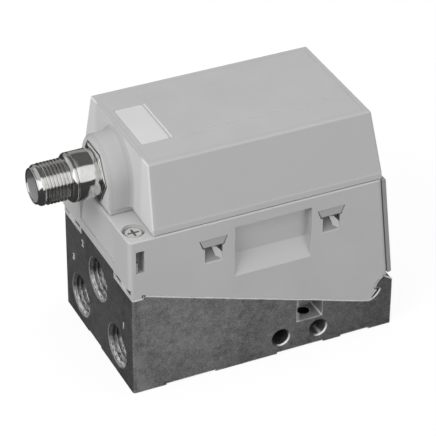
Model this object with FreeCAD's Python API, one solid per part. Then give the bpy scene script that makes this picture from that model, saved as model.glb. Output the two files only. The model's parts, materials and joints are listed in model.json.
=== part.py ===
import FreeCAD, Part
import math
import os

# Electro-pneumatic pressure regulator, in millimetres.
# Origin at the centre of the valve body's underside, +Z up, the round
# connector towards -X. A metal valve body with a sloped top carries a moulded
# housing, hooked on at the rear and screwed down at the front, and a cover
# that snaps into the housing.

V = FreeCAD.Vector
UP = V(0, 0, 1)
ALONG_X = V(1, 0, 0)
ALONG_Y = V(0, 1, 0)

# Valve body
body_length = 82.0
body_width = 49.8
ledge_height = 31.9
ledge_depth = 3.3
slope_step = 0.9
slope_foot = 10.6
slope_foot_inset = 9.5
gullet_inset = 7.0
gullet_height = 10.1
bite_inset = 4.5
bite_height = 11.8
throat_inset = 3.6
throat_height = 13.45
nose_inset = 5.3
nose_height = 13.95
brow_inset = 4.6
brow_height = 16.15
crown_inset = 2.9
crown_height = 17.6
hook_rear_height = 15.75
body_corner = 0.8
foot_pads = [(0.0, 10.2), (25.5, 45.1), (60.0, 65.7), (74.8, 82.0)]
foot_relief = 0.5
front_relief = (23.8, 32.8)

# Ports in the front face
port_radius = 6.58
port_depth = 13.0
port_chamfer = 0.2
outlet_port_height = 23.6
low_port_height = 9.35
low_port_offset = 13.4
supply_drill_radius = 3.2
supply_drill_start_height = 11.35
supply_drill_end_offset = 5.2
exhaust_drill_radius = 1.8
exhaust_drill_end_offset = 3.8
outlet_drill_radius = 4.0
pilot_drill_radius = 0.8

# Mounting holes and screw pockets
side_hole_radius = 2.55
side_hole_height = 5.5
side_hole_chamfer = 0.35
side_hole_first = 46.2
side_hole_pitch = 12.0
pocket_start = 51.2
pocket_end = 59.3
pocket_depth = 7.0
pocket_floor = 9.6
down_hole_radius = 1.9
down_hole_reach = 55.4
down_hole_edge = 4.4

# Main valve, on a vertical axis
valve_x = -13.0
supply_bore_radius = 9.5
supply_bore_top = 16.5
seat_web = 3.0
outlet_bore_radius = 9.0
outlet_chamber_height = 9.0
piston_bore_radius = 12.0
piston_bore_depth = 7.5
tower_half_width = 17.0
tower_front_gap = 6.6
tower_rear_reach = 17.0
tower_corner = 2.0
running_gap = 0.05
fit_gap = 0.05
tap_allowance = 0.8
hole_clearance = 0.15
ring_facets = 8
wire_facets = 6

seat_ring_radius = 6.5
seat_hole_radius = 4.2
seat_lip_height = 0.6
seat_lip_width = 0.6
poppet_stem_radius = 3.4
poppet_bore_radius = 2.0
poppet_head_radius = 6.2
poppet_head_height = 2.2
poppet_stem_above_seat = 2.5
poppet_travel = 1.2
poppet_end_gap = 0.3
poppet_tip_chamfer = 0.5
disc_inner_radius = 3.9
disc_outer_radius = 5.8
poppet_spring_gap = 1.0
poppet_wire_radius = 0.4
poppet_spring_turns = 3
disc_recess = 0.8
exhaust_gap = 0.8
piston_height = 4.0
piston_headroom = 0.8
piston_stem_radius = 2.9
piston_groove_height = 1.2
piston_groove_depth = 1.0
piston_root_fillet = 1.2
piston_rim_width = 3.0
piston_dish_depth = 1.2
relay_spring_radius = 6.3
relay_wire_radius = 0.5
relay_spring_turns = 4

plug_bottom = 1.5
plug_height = 8.0
plug_cavity_radius = 4.6
plug_cavity_floor = 0.8
plug_guide_height = 2.6
plug_annulus_depth = 2.0
plug_annulus_low = 2.0
plug_annulus_high = 5.2
plug_seal_width = 1.1
plug_seal_depth = 1.1
plug_seal_land = 0.4
plug_hole_radius = 1.4
stem_seal_low = 1.8
stem_seal_high = 0.8
circlip_thickness = 0.8
circlip_groove_depth = 0.8
circlip_band = 1.6
circlip_bottom = 0.65
circlip_slack = 0.1
circlip_lug_offset = 3.3
circlip_lug_radius = 1.4
circlip_hole_radius = 0.55

# Pilot pad, bonnet and channels
pad_rear_reach = 10.9
pad_half_width = 15.0
pad_height = 22.0
bonnet_height = 7.5
bonnet_front_gap = 1.2
bonnet_rear_gap = 1.0
bonnet_half_width = 15.0
control_pocket_radius = 11.0
control_pocket_depth = 1.0
bonnet_seal_radius = 12.9
bonnet_seal_section = 0.7
channel_reach = 13.6
bonnet_screw_radius = 1.5
bonnet_screw_head = 2.7
bonnet_screw_inset_x = 3.5
bonnet_screw_inset_y = 3.5
bonnet_screw_reach = 8.0
control_channel_reach = 14.6
level_drill_radius = 0.6
bonnet_flank_depth = 4.0
bonnet_flank_half_length = 8.0
bonnet_flank_low = 2.0
bonnet_screw_recess = 3.2
bonnet_screw_head_height = 2.8
bonnet_screw_drive = 1.3

# Pilot valves, standing on the pad
pilot_reach = 28.5
pilot_offset = 7.6
side_drill_offset = 2.6
gallery_depth = 5.0
feed_drop = 3.0
vent_depth = 2.0
pilot_length = 20.0
pilot_screw_inset = 1.6
pilot_screw_radius = 0.9
pilot_screw_head = 1.5
pilot_screw_head_height = 1.4
pilot_screw_drive = 0.7
pilot_screw_reach = 4.5
pilot_width = 13.4
pilot_base_height = 5.0
pilot_corner = 1.0
pilot_chamber_radius = 3.6
pilot_nozzle_radius = 1.3
pilot_nozzle_bore = 0.6
pilot_nozzle_height = 0.9
pilot_floor = 2.0
tube_radius = 3.4
tube_bore_radius = 3.05
tube_height = 17.5
tube_flange_height = 1.5
tube_above_yoke = 0.6
armature_length = 10.6
pole_gap = 0.6
pole_head_height = 1.0
pole_bore_depth = 2.0
armature_bore_depth = 2.5
armature_slot_width = 0.8
armature_slot_depth = 0.5
spring_bore_radius = 1.7
pilot_spring_radius = 1.2
pilot_wire_radius = 0.2
pilot_spring_turns = 4
seal_disc_radius = 1.9
seal_disc_height = 0.8
bobbin_flange_radius = 5.4
bobbin_flange = 0.8
bobbin_barrel_radius = 4.0
winding_radius = 5.2
yoke_thickness = 1.2
yoke_half_length = 6.6
yoke_width = 8.0
terminal_radius = 0.4
terminal_offset = 4.7
terminal_rise = 0.8

# Housing
housing_rise = 1.4
housing_front_step = 0.7
housing_wall = 2.0
housing_corner = 1.4
housing_rear_top_inset = 5.0
housing_rear_low_inset = 1.5
housing_rear_low_height = 18.1
tail_bevel_run = 0.2
tail_bevel_rise = 0.8
seam_gap = 0.5
gasket_inset = 0.9
gasket_width = 1.0
gasket_tab = 2.4
gasket_tab_inset = 0.8
cavity_rear_inset = 10.0
cavity_bend = 23.6
cavity_step = 14.6
front_rib_half_width = 11.8
front_rib_height = 3.5
front_rib_depth = 0.7
front_rib_gap = 0.1
foot_setback = 0.8
foot_slots = [(13.0, 16.8), (20.5, 23.7)]
foot_slot_depth = 0.8
foot_slot_rise = 1.2
skirt_gap = 0.1
skirt_edge = 0.5
rim_bead = 0.3
scoop_near = 14.2
scoop_far = 10.6
scoop_low_drop = 13.1
scoop_high_drop = 2.2
scoop_depth = 1.8
scoop_foot_depth = 0.4
scoop_backing = 1.4
screw_reach_x = 3.0
screw_inset = 5.5
screw_recess_radius = 3.3
screw_recess_depth = 2.4
screw_hole_radius = 1.7
screw_radius = 1.45
screw_head_radius = 2.3
screw_head_height = 1.8
screw_drive_arm = 1.7
screw_drive_half = 0.35
screw_drive_depth = 1.0
screw_reach = 8.0
screw_pad_thickness = 7.4
screw_column_half = 3.5
corner_slot_start = 1.3
corner_slot_length = 2.6
corner_slot_low_drop = 10.6
corner_slot_high_drop = 3.4
corner_slot_depth = 3.6
corner_slot_step_drop = 7.3
corner_slot_step_width = 0.8
corner_slot_step_inset = 0.6
finger_start = 31.1
finger_end = 55.0
finger_top_drop = 3.3
finger_back_low_drop = 14.4
finger_low_drop = 19.9
finger_depth = 3.2
finger_wall = 1.5
window_starts = (20.3, 56.8)
window_top_width = 8.8
window_low_width = 6.6
window_top_drop = 5.2
window_low_drop = 8.3
scoop_pocket_width = 5.4
scoop_pocket_low_drop = 13.2
scoop_pocket_depth = 1.5
scoop_pocket_opening = 1.3
shelf_height = 4.0
shelf_length = 4.4
shelf_margin = 2.2

# Rear plate
rear_plate_thickness = 1.2
rear_plate_side_gap = 0.3
rear_plate_top_gap = 0.3
rear_plate_low_gap = 0.2
rear_plate_edge = 0.4
rear_plate_peg_radius = 1.4
rear_plate_peg_length = 1.6
rear_plate_peg_offset = 16.0

# Cover
cover_front = 6.5
cover_seam = 0.25
cover_height = 20.35
cover_top_front = 7.2
cover_rear_overhang = 0.35
cover_top_rear_inset = 2.25
cover_top_side_inset = 4.8
cover_wall = 2.0
cover_roof = 2.0
cover_corner = 0.6
cover_band_height = 1.6
cover_band_inset = 0.4
panel_height = 0.3
panel_gap = 0.4
panel_rear_gap = 1.6
panel_half_width = 9.8
boss_radius = 10.5
boss_rim_round = 1.6
boss_root_round = 2.0
boss_step = 0.2
boss_front_wall = 3.0
boss_depth = 10.0
snap_thickness = 1.6
snap_wall_gap = 0.35
snap_root_rise = 8.6
snap_reach = 0.9
snap_clearance = 0.3
seal_width = 1.0
seal_inset = 0.7
seal_depth = 0.6

# Label plate
label_start = 9.9
label_length = 8.5
label_half_width = 9.8
label_thickness = 0.6
label_gap = 0.1
label_corner = 0.4

# Round connector
axis_rise = 8.8
thread_radius = 6.0
thread_end_radius = 5.1
thread_chamfer = 1.0
neck_radius = 5.4
neck_length = 0.2
connector_reach = 18.5
thread_length = 8.6
collar_radius = 7.1
collar_length = 1.3
collar_chamfer = 0.9
collar_groove_radius = 5.4
collar_groove_length = 0.3
barrel_chamfer = 0.3
flange_across_flats = 15.0
flange_length = 1.7
flange_recess_gap = 0.6
flange_recess_depth = 1.0
tail_radius = 5.3
tail_length = 6.4
shell_bore_radius = 4.6
seal_ring_radius = 6.6
connector_seal_section = 0.6
connector_groove_depth = 1.0
nut_across_flats = 15.0
nut_corner_radius = 8.25
nut_height = 2.2
insert_front_depth = 8.6
insert_flat = 0.6
pin_radius = 0.5
pin_circle = 2.5
pin_front = 4.6
pin_tail = 2.1
pin_taper = 0.5
pin_gap = 0.02
lead_radius = 0.45
lead_bend = 1.2

# Circuit board and what stands on it
board_rise = 6.5
board_thickness = 1.6
board_front_gap = 8.3
board_rear_gap = 1.9
board_side_gap = 3.5
board_corner = 1.5
board_screw_radius = 1.1
board_screw_head = 2.1
board_screw_head_height = 1.3
board_screw_drive = 0.8
board_screw_reach = 3.0
board_screw_inset = 2.3
sensor_radius = 4.4
sensor_board_gap = 1.7
sensor_step = 0.8
sensor_pin_pitch = 2.4
sensor_seal_section = 0.4
sensor_seal_radius = 2.05
sensor_seat_depth = 1.0
# Each chip: x from the main valve's axis, y, length, width, height
chips = [(15.0, -6.0, 12.0, 12.0, 1.6), (-1.0, 9.0, 8.0, 5.0, 1.4), (-1.0, -10.0, 8.0, 5.0, 1.4),
         (26.0, 0.0, 6.0, 4.0, 1.4), (-9.0, 9.0, 5.0, 4.0, 1.2)]
capacitor_edge = 7.0
capacitor_offset = 5.0
capacitor_radius = 3.9
capacitor_height = 9.5
capacitor_chamfer = 0.5
inductor_reach = 14.0
inductor_edge = 9.4
inductor_width = 9.0
inductor_height = 5.0
inductor_corner = 2.0

front_x = -body_length / 2
rear_x = body_length / 2
side_y = body_width / 2
slope_top = ledge_height + slope_step
down_hole_x = front_x + down_hole_reach
tower_rear = valve_x + tower_rear_reach
channel_x = valve_x - channel_reach
control_channel_x = valve_x + control_channel_reach
pilot_x = valve_x + pilot_reach
pad_rear = pilot_x + pad_rear_reach

web_top = supply_bore_top + seat_web
outlet_bore_top = web_top + outlet_chamber_height
tower_top = outlet_bore_top + piston_bore_depth
pilot_top = pad_height + pilot_base_height
bonnet_top = tower_top + bonnet_height
board_bottom = bonnet_top + board_rise
housing_top = board_bottom + housing_rise
sensor_low = bonnet_top - sensor_seat_depth
sensor_top = board_bottom - sensor_board_gap - sensor_step

housing_front = front_x - housing_front_step
front_rib_top = ledge_height + front_rib_height
housing_rear_top = rear_x - housing_rear_top_inset
housing_rear_low = rear_x - housing_rear_low_inset
cavity_rear_low = rear_x - cavity_rear_inset
screw_x = front_x + screw_reach_x
screw_offset = side_y - screw_inset
scoop_low = housing_top - scoop_low_drop
scoop_high = housing_top - scoop_high_drop
corner_slot_low = housing_top - corner_slot_low_drop
corner_slot_high = housing_top - corner_slot_high_drop
corner_slot_step = housing_top - corner_slot_step_drop
finger_top = housing_top - finger_top_drop
finger_back_low = housing_top - finger_back_low_drop
finger_low = housing_top - finger_low_drop
window_top = housing_top - window_top_drop
window_low = housing_top - window_low_drop
scoop_pocket_low = housing_top - scoop_pocket_low_drop
snap_outer = side_y - housing_wall - snap_wall_gap
cover_top = housing_top + cover_height
axis_height = housing_top + axis_rise
board_front = housing_front + housing_wall + board_front_gap
board_rear = housing_rear_top - housing_wall - board_rear_gap
board_half_width = side_y - housing_wall - board_side_gap
capacitor_x = board_rear - capacitor_edge
inductor_x = valve_x + inductor_reach
inductor_y = board_half_width - inductor_edge


def box(x0, x1, y0, y1, z0, z1):
    return Part.makeBox(x1 - x0, y1 - y0, z1 - z0, V(x0, y0, z0))


def post(radius, x, y, z0, z1):
    return Part.makeCylinder(radius, z1 - z0, V(x, y, z0), UP)


def rod_x(radius, x0, x1, y, z):
    return Part.makeCylinder(radius, x1 - x0, V(x0, y, z), ALONG_X)


def rod_y(radius, x, y0, y1, z):
    return Part.makeCylinder(radius, y1 - y0, V(x, y0, z), ALONG_Y)


def drill(radius, start, end):
    return Part.makeCylinder(radius, (end - start).Length, start, end - start)


def pipe_z(outer, inner, x, y, z0, z1):
    return post(outer, x, y, z0, z1).cut(post(inner, x, y, z0, z1))


def pipe_x(outer, inner, x0, x1, y, z):
    return rod_x(outer, x0, x1, y, z).cut(rod_x(inner, x0, x1, y, z))


def line(a, b):
    return Part.LineSegment(a, b).toShape()


def arc(a, b, c):
    return Part.Arc(a, b, c).toShape()


def prism_y(points, y0, y1):
    wire = Part.makePolygon([V(x, y0, z) for x, z in points + points[:1]])
    return Part.Face(wire).extrude(V(0, y1 - y0, 0))


def revolve_z(points, x, y):
    wire = Part.makePolygon([V(x + r, y, z) for r, z in points + points[:1]])
    return Part.Face(wire).revolve(V(x, y, 0), UP, 360)


def hexagon_x(across_flats, x0, x1, y, z):
    corner = across_flats / math.sqrt(3)
    points = []
    for k in range(7):
        angle = math.radians(60 * k)
        points.append(V(x0, y + corner * math.cos(angle), z + corner * math.sin(angle)))
    return Part.Face(Part.makePolygon(points)).extrude(V(x1 - x0, 0, 0))


def frustum(low, high):
    rings = []
    for x0, x1, half, z in (low, high):
        rings.append([V(x0, -half, z), V(x1, -half, z), V(x1, half, z), V(x0, half, z)])
    base, top = rings
    faces = [Part.Face(Part.makePolygon(top + top[:1])), Part.Face(Part.makePolygon(base[::-1] + base[-1:]))]
    for k in range(4):
        following = (k + 1) % 4
        quad = [base[k], base[following], top[following], top[k], base[k]]
        faces.append(Part.Face(Part.makePolygon(quad)))
    return Part.Solid(Part.Shell(faces))


def mirrored(shape):
    return shape.mirror(V(0, 0, 0), ALONG_Y)


def straight_edges(shape, direction, accept):
    found = []
    for edge in shape.Edges:
        if edge.Curve.TypeId != "Part::GeomLine":
            continue
        run = edge.Vertexes[-1].Point - edge.Vertexes[0].Point
        run.normalize()
        if abs(run.dot(direction)) > 0.98 and accept(edge.CenterOfMass):
            found.append(edge)
    return found


def round_corners(shape, radius, direction, accept=lambda middle: True):
    return shape.makeFillet(radius, straight_edges(shape, direction, accept))


def facet_circle(radius):
    reach = radius / math.cos(math.pi / ring_facets)
    points = []
    for k in range(ring_facets):
        angle = 2 * math.pi * (k + 0.5) / ring_facets
        points.append((reach * math.sin(angle), reach * math.cos(angle)))
    return points


def seal_ring(major, section, x, y, z):
    points = []
    for along, out in facet_circle(section):
        points.append((major + out, z + along))
    return revolve_z(points, x, y)


def coil_spring(mean_radius, wire_radius, turns, x, y, z0, z1):
    low = z0 + wire_radius
    pitch = (z1 - z0 - 2 * wire_radius) / turns
    helix = Part.makeHelix(pitch, pitch * turns, mean_radius)
    helix.translate(V(x, y, low))
    corners = []
    for k in range(wire_facets):
        angle = 2 * math.pi * k / wire_facets
        reach = mean_radius + wire_radius * math.cos(angle)
        corners.append(V(x + reach, y, low + wire_radius * math.sin(angle)))
    section = Part.makePolygon(corners + corners[:1])
    return Part.Wire(helix.Edges).makePipeShell([section], True, True)


def metal_profile():
    start = V(front_x + ledge_depth, 0, slope_top)
    foot = V(rear_x - slope_foot_inset, 0, slope_foot)
    gullet = V(rear_x - gullet_inset, 0, gullet_height)
    bite = V(rear_x - bite_inset, 0, bite_height)
    throat = V(rear_x - throat_inset, 0, throat_height)
    nose = V(rear_x - nose_inset, 0, nose_height)
    brow = V(rear_x - brow_inset, 0, brow_height)
    crown = V(rear_x - crown_inset, 0, crown_height)
    rear = V(rear_x, 0, hook_rear_height)
    edges = [
        line(V(front_x, 0, 0), V(front_x, 0, ledge_height)),
        line(V(front_x, 0, ledge_height), V(front_x + ledge_depth, 0, ledge_height)),
        line(V(front_x + ledge_depth, 0, ledge_height), start),
        line(start, foot),
        line(foot, gullet),
        arc(gullet, bite, throat),
        line(throat, nose),
        arc(nose, brow, crown),
        line(crown, rear),
        line(rear, V(rear_x, 0, 0)),
        line(V(rear_x, 0, 0), V(front_x, 0, 0)),
    ]
    return Part.Face(Part.Wire(edges))


def metal_prism(grow):
    face = metal_profile()
    if grow > 0:
        face = face.makeOffset2D(grow)
    face.translate(V(0, -side_y, 0))
    return face.extrude(V(0, body_width, 0))


def plan_ring(inset, width):
    outer = box(front_x + inset, rear_x - inset, inset - side_y, side_y - inset, 0, housing_top)
    deep = inset + width
    inner = box(front_x + deep, rear_x - slope_foot_inset, deep - side_y, side_y - deep, 0, housing_top)
    return outer.cut(inner)


def foot_cuts():
    cuts = []
    for (_, start), (end, _) in zip(foot_pads, foot_pads[1:]):
        cuts.append(box(front_x + start, front_x + end, -side_y, side_y, 0, foot_relief))
    low, high = front_relief
    cuts.append(box(front_x, front_x + foot_relief, low - side_y, high - side_y, 0, foot_relief))
    return cuts


def ports():
    cuts = []
    places = [(0, outlet_port_height)]
    places += [(side * low_port_offset, low_port_height) for side in (-1, 1)]
    for y, z in places:
        cuts.append(rod_x(port_radius, front_x, front_x + port_depth, y, z))
        mouth = V(front_x, y, z)
        cuts.append(Part.makeCone(port_radius + port_chamfer, port_radius, port_chamfer, mouth, ALONG_X))
    return cuts


def air_drillings():
    port_end = front_x + port_depth
    supply_side = low_port_offset - supply_drill_radius
    return [
        rod_x(outlet_drill_radius, port_end - 1, valve_x, 0, outlet_port_height),
        drill(supply_drill_radius, V(port_end - 1, -supply_side, supply_drill_start_height),
              V(valve_x, -supply_drill_end_offset, supply_bore_top - supply_drill_radius - seat_lip_height)),
        drill(exhaust_drill_radius, V(port_end - 1, supply_side, plug_waist_middle()),
              V(valve_x, exhaust_drill_end_offset, plug_waist_middle())),
        post(pilot_drill_radius, channel_x, 0, outlet_port_height, tower_top),
    ]


def pilot_drillings():
    low = pad_height - gallery_depth
    feed = supply_bore_top - feed_drop
    vent = pad_height - vent_depth
    cuts = []
    cuts.append(post(pilot_drill_radius, control_channel_x, 0, low - pilot_drill_radius, tower_top))
    cuts.append(rod_x(pilot_drill_radius, control_channel_x, pilot_x, 0, low))
    for side in (-1, 1):
        y = side * pilot_offset
        cuts.append(drill(pilot_drill_radius, V(pilot_x, 0, low), V(pilot_x, y, low)))
        cuts.append(post(pilot_drill_radius, pilot_x, y, low - pilot_drill_radius, pad_height))
    side_x = pilot_x - side_drill_offset
    cuts.append(post(pilot_drill_radius, side_x, -pilot_offset, feed, pad_height))
    cuts.append(rod_x(pilot_drill_radius, valve_x, side_x, -pilot_offset, feed))
    cuts.append(post(pilot_drill_radius, side_x, pilot_offset, vent, pad_height))
    cuts.append(rod_y(pilot_drill_radius, side_x, pilot_offset, side_y, vent))
    return cuts


def valve_bores():
    groove_low = circlip_bottom - circlip_slack
    groove_top = circlip_bottom + circlip_thickness + circlip_slack
    return [
        post(supply_bore_radius, valve_x, 0, 0, supply_bore_top),
        post(supply_bore_radius + circlip_groove_depth, valve_x, 0, groove_low, groove_top),
        post(seat_ring_radius, valve_x, 0, supply_bore_top, web_top),
        post(outlet_bore_radius, valve_x, 0, web_top, outlet_bore_top),
        post(piston_bore_radius, valve_x, 0, outlet_bore_top, tower_top),
        pipe_z(bonnet_seal_radius + bonnet_seal_section, bonnet_seal_radius - bonnet_seal_section,
               valve_x, 0, tower_top - bonnet_seal_section, tower_top),
    ]


def bonnet_screw_places():
    x0 = front_x + tower_front_gap + bonnet_front_gap + bonnet_screw_inset_x
    x1 = tower_rear - bonnet_rear_gap - bonnet_screw_inset_x
    y = bonnet_half_width - bonnet_screw_inset_y
    return [(x, side * y) for x in (x0, x1) for side in (-1, 1)]


def mounting_cuts():
    cuts = []
    for k in range(2):
        x = front_x + side_hole_first + k * side_hole_pitch
        cuts.append(rod_y(side_hole_radius, x, -side_y, side_y, side_hole_height))
        for side in (-1, 1):
            cone = Part.makeCone(side_hole_radius + side_hole_chamfer, side_hole_radius, side_hole_chamfer,
                                 V(x, side * side_y, side_hole_height), V(0, -side, 0))
            cuts.append(cone)
    for side in (-1, 1):
        edge = side * side_y
        inner = edge - side * pocket_depth
        cuts.append(box(front_x + pocket_start, front_x + pocket_end, min(edge, inner), max(edge, inner),
                        pocket_floor, slope_top))
        cuts.append(post(down_hole_radius, down_hole_x, edge - side * down_hole_edge, 0, pocket_floor))
    return cuts


def valve_body():
    block = metal_prism(0)
    block = round_corners(block, body_corner, UP, lambda m: abs(m.x - front_x) < 0.1)
    tower = box(front_x + tower_front_gap, tower_rear, -tower_half_width, tower_half_width,
                slope_foot, tower_top)
    tower = round_corners(tower, tower_corner, UP)
    pad = box(tower_rear - 1, pad_rear, -pad_half_width, pad_half_width, pocket_floor, pad_height)
    pad = round_corners(pad, tower_corner, UP, lambda m: m.x > tower_rear)
    rib = box(front_x, front_x + front_rib_depth, -front_rib_half_width, front_rib_half_width,
              slope_foot, front_rib_top)
    block = block.fuse([tower, pad, rib])
    cuts = foot_cuts() + ports() + air_drillings() + pilot_drillings() + valve_bores() + mounting_cuts()
    bonnet_tap = tower_top - bonnet_screw_reach - tap_allowance
    for x, y in bonnet_screw_places():
        cuts.append(post(bonnet_screw_radius, x, y, bonnet_tap, tower_top))
    for side in (-1, 1):
        cuts.append(post(screw_radius + fit_gap, screw_x, side * screw_offset,
                         ledge_height - screw_reach - tap_allowance, slope_top))
    for x, y in pilot_screw_places():
        low = pad_height - pilot_screw_reach - tap_allowance
        cuts.append(post(pilot_screw_radius + fit_gap, x, y, low, pad_height))
    return block.cut(cuts)


def pilot_screw_places():
    reach = pilot_length / 2 - pilot_screw_inset
    return [(pilot_x + end * reach, side * pilot_offset) for end in (-1, 1) for side in (-1, 1)]


def supply_seat():
    lip = supply_bore_top - seat_lip_height
    outer = seat_ring_radius - fit_gap
    tip = seat_hole_radius + seat_lip_width
    return revolve_z([(seat_hole_radius, lip), (tip, lip), (tip + seat_lip_width, supply_bore_top),
                      (outer, supply_bore_top), (outer, web_top), (seat_hole_radius, web_top)], valve_x, 0)


def seat_plane():
    return supply_bore_top - seat_lip_height


def plug_top():
    return plug_bottom + plug_height


def valve_plug():
    outer = supply_bore_radius - fit_gap
    plug = post(outer, valve_x, 0, plug_bottom, plug_top())
    waist = outer - plug_annulus_depth
    seal_floor = outer - plug_seal_depth
    cuts = [
        pipe_z(outer + 1, waist, valve_x, 0, plug_bottom + plug_annulus_low, plug_bottom + plug_annulus_high),
        post(plug_cavity_radius, valve_x, 0, plug_bottom + plug_cavity_floor, plug_top() - plug_guide_height),
        post(poppet_stem_radius + running_gap, valve_x, 0, plug_bottom + plug_cavity_floor, plug_top()),
        post(stem_seal_groove(), valve_x, 0, plug_top() - stem_seal_low, plug_top() - stem_seal_high),
    ]
    half = plug_seal_width / 2
    for z in plug_seal_heights():
        cuts.append(pipe_z(outer + 1, seal_floor, valve_x, 0, z - half, z + half))
    middle = plug_waist_middle()
    cuts.append(rod_x(plug_hole_radius, valve_x - outer, valve_x + outer, 0, middle))
    cuts.append(rod_y(plug_hole_radius, valve_x, -outer, outer, middle))
    return plug.cut(cuts)


def plug_waist_middle():
    return plug_bottom + (plug_annulus_low + plug_annulus_high) / 2


def stem_seal_groove():
    return poppet_stem_radius + running_gap + stem_seal_low - stem_seal_high


def plug_seal_heights():
    margin = plug_seal_land + plug_seal_width / 2
    return (plug_bottom + margin, plug_bottom + plug_annulus_high + plug_seal_land + margin)


def plug_seals():
    section = plug_seal_depth / 2 - fit_gap
    major = supply_bore_radius - fit_gap - section - fit_gap
    rings = [seal_ring(major, section, valve_x, 0, z) for z in plug_seal_heights()]
    return Part.makeCompound(rings)


def stem_seal():
    section = (stem_seal_low - stem_seal_high) / 2 - fit_gap
    middle = plug_top() - (stem_seal_low + stem_seal_high) / 2
    return seal_ring(stem_seal_groove() - section - fit_gap, section, valve_x, 0, middle)


def plug_circlip():
    outer = supply_bore_radius + circlip_groove_depth - circlip_slack
    top = circlip_bottom + circlip_thickness
    ring = pipe_z(outer, outer - circlip_band, valve_x, 0, circlip_bottom, top)
    half = circlip_lug_offset - circlip_hole_radius - circlip_slack
    gap_end = valve_x - outer + 2 * circlip_band
    ring = ring.cut(box(valve_x - outer - 1, gap_end, -half, half, circlip_bottom, top))
    x = valve_x - outer + circlip_band + circlip_hole_radius
    for side in (-1, 1):
        y = side * circlip_lug_offset
        lug = post(circlip_lug_radius, x, y, circlip_bottom, top)
        ring = ring.fuse(lug).cut(post(circlip_hole_radius, x, y, circlip_bottom, top))
    return ring


def poppet_low():
    return plug_bottom + plug_cavity_floor + poppet_travel + poppet_end_gap


def poppet_high():
    return seat_plane() + poppet_stem_above_seat


def supply_poppet():
    face = seat_plane() - fit_gap
    under = face - poppet_head_height
    stem = poppet_stem_radius
    disc_in = disc_inner_radius
    disc_out = disc_outer_radius
    pocket = face - disc_recess
    tip = poppet_high() - poppet_tip_chamfer
    return revolve_z([(poppet_bore_radius, poppet_low()), (stem, poppet_low()), (stem, under),
                      (poppet_head_radius, under), (poppet_head_radius, face), (disc_out, face),
                      (disc_out, pocket), (disc_in, pocket), (disc_in, face), (stem, face),
                      (stem, tip), (stem - poppet_tip_chamfer, poppet_high()),
                      (poppet_bore_radius, poppet_high())], valve_x, 0)


def poppet_disc():
    face = seat_plane() - fit_gap
    return pipe_z(disc_outer_radius, disc_inner_radius, valve_x, 0, face - disc_recess, face)


def poppet_spring():
    wire = poppet_wire_radius
    mean = poppet_stem_radius + poppet_spring_gap + wire
    under = seat_plane() - fit_gap - poppet_head_height
    return coil_spring(mean, wire, poppet_spring_turns, valve_x, 0, plug_top(), under)


def piston_top():
    return tower_top - piston_headroom


def relay_piston():
    top = piston_top()
    under = top - piston_height
    tip = poppet_high() + exhaust_gap
    outer = piston_bore_radius - running_gap
    groove_low = under + (piston_height - piston_groove_height) / 2
    groove_high = groove_low + piston_groove_height
    floor = outer - piston_groove_depth
    stem = piston_stem_radius
    chamfer = poppet_tip_chamfer
    fillet = piston_root_fillet
    rim = outer - piston_rim_width
    dish = top - piston_dish_depth
    return revolve_z([(0, tip), (stem - chamfer, tip), (stem, tip + chamfer), (stem, under - fillet),
                      (stem + fillet, under), (outer, under), (outer, groove_low), (floor, groove_low),
                      (floor, groove_high), (outer, groove_high), (outer, top), (rim, top),
                      (rim - piston_dish_depth / 2, dish), (0, dish)], valve_x, 0)


def piston_seal():
    section = piston_groove_depth / 2
    middle = piston_top() - piston_height / 2
    return seal_ring(piston_bore_radius - running_gap - section, section, valve_x, 0, middle)


def relay_spring():
    under = piston_top() - piston_height
    return coil_spring(relay_spring_radius, relay_wire_radius, relay_spring_turns, valve_x, 0, web_top, under)


def bonnet_ends():
    return (front_x + tower_front_gap + bonnet_front_gap, tower_rear - bonnet_rear_gap)


def pilot_bonnet():
    x0, x1 = bonnet_ends()
    half = bonnet_half_width
    bonnet = box(x0, x1, -half, half, tower_top, bonnet_top)
    bonnet = round_corners(bonnet, tower_corner, UP)
    level = tower_top + bonnet_height / 2
    cuts = [
        post(control_pocket_radius, valve_x, 0, tower_top, tower_top + control_pocket_depth),
        post(pilot_drill_radius, valve_x, 0, tower_top, level),
        rod_x(level_drill_radius, valve_x, control_channel_x, 0, level),
        post(pilot_drill_radius, control_channel_x, 0, tower_top, level + pilot_drill_radius),
        post(pilot_drill_radius, channel_x, 0, tower_top, bonnet_top),
        post(sensor_radius + fit_gap, channel_x, 0, sensor_low, bonnet_top),
    ]
    flank_start = valve_x - bonnet_flank_half_length
    flank_end = valve_x + bonnet_flank_half_length
    flank_in = half - bonnet_flank_depth
    flank_low = tower_top + bonnet_flank_low
    for low, high in ((-half - 1, -flank_in), (flank_in, half + 1)):
        cuts.append(box(flank_start, flank_end, low, high, flank_low, bonnet_top + 1))
    for x, y in bonnet_screw_places():
        cuts.append(post(bonnet_screw_radius + hole_clearance, x, y, tower_top, bonnet_top))
        recess = bonnet_top - bonnet_screw_recess
        cuts.append(post(bonnet_screw_head + hole_clearance, x, y, recess, bonnet_top))
    return bonnet.cut(cuts)


def bonnet_seal():
    section = bonnet_seal_section / 2
    return seal_ring(bonnet_seal_radius, section, valve_x, 0, tower_top - section)


def cap_screw(radius, head_radius, head_height, x, y, seat, tip, drive):
    screw = post(radius, x, y, tip, seat).fuse(post(head_radius, x, y, seat, seat + head_height))
    return screw.cut(post(drive, x, y, seat + head_height / 2, seat + head_height))


def bonnet_screws():
    seat = bonnet_top - bonnet_screw_recess
    tip = tower_top - bonnet_screw_reach
    radius = bonnet_screw_radius - fit_gap
    height = bonnet_screw_head_height
    screws = [cap_screw(radius, bonnet_screw_head, height, x, y, seat, tip, bonnet_screw_drive)
              for x, y in bonnet_screw_places()]
    return Part.makeCompound(screws)


def tube_floor():
    return pilot_top - tube_flange_height


def coil_low():
    return pilot_top + yoke_thickness


def coil_high():
    return tube_floor() + tube_height - yoke_thickness - tube_above_yoke


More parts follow.
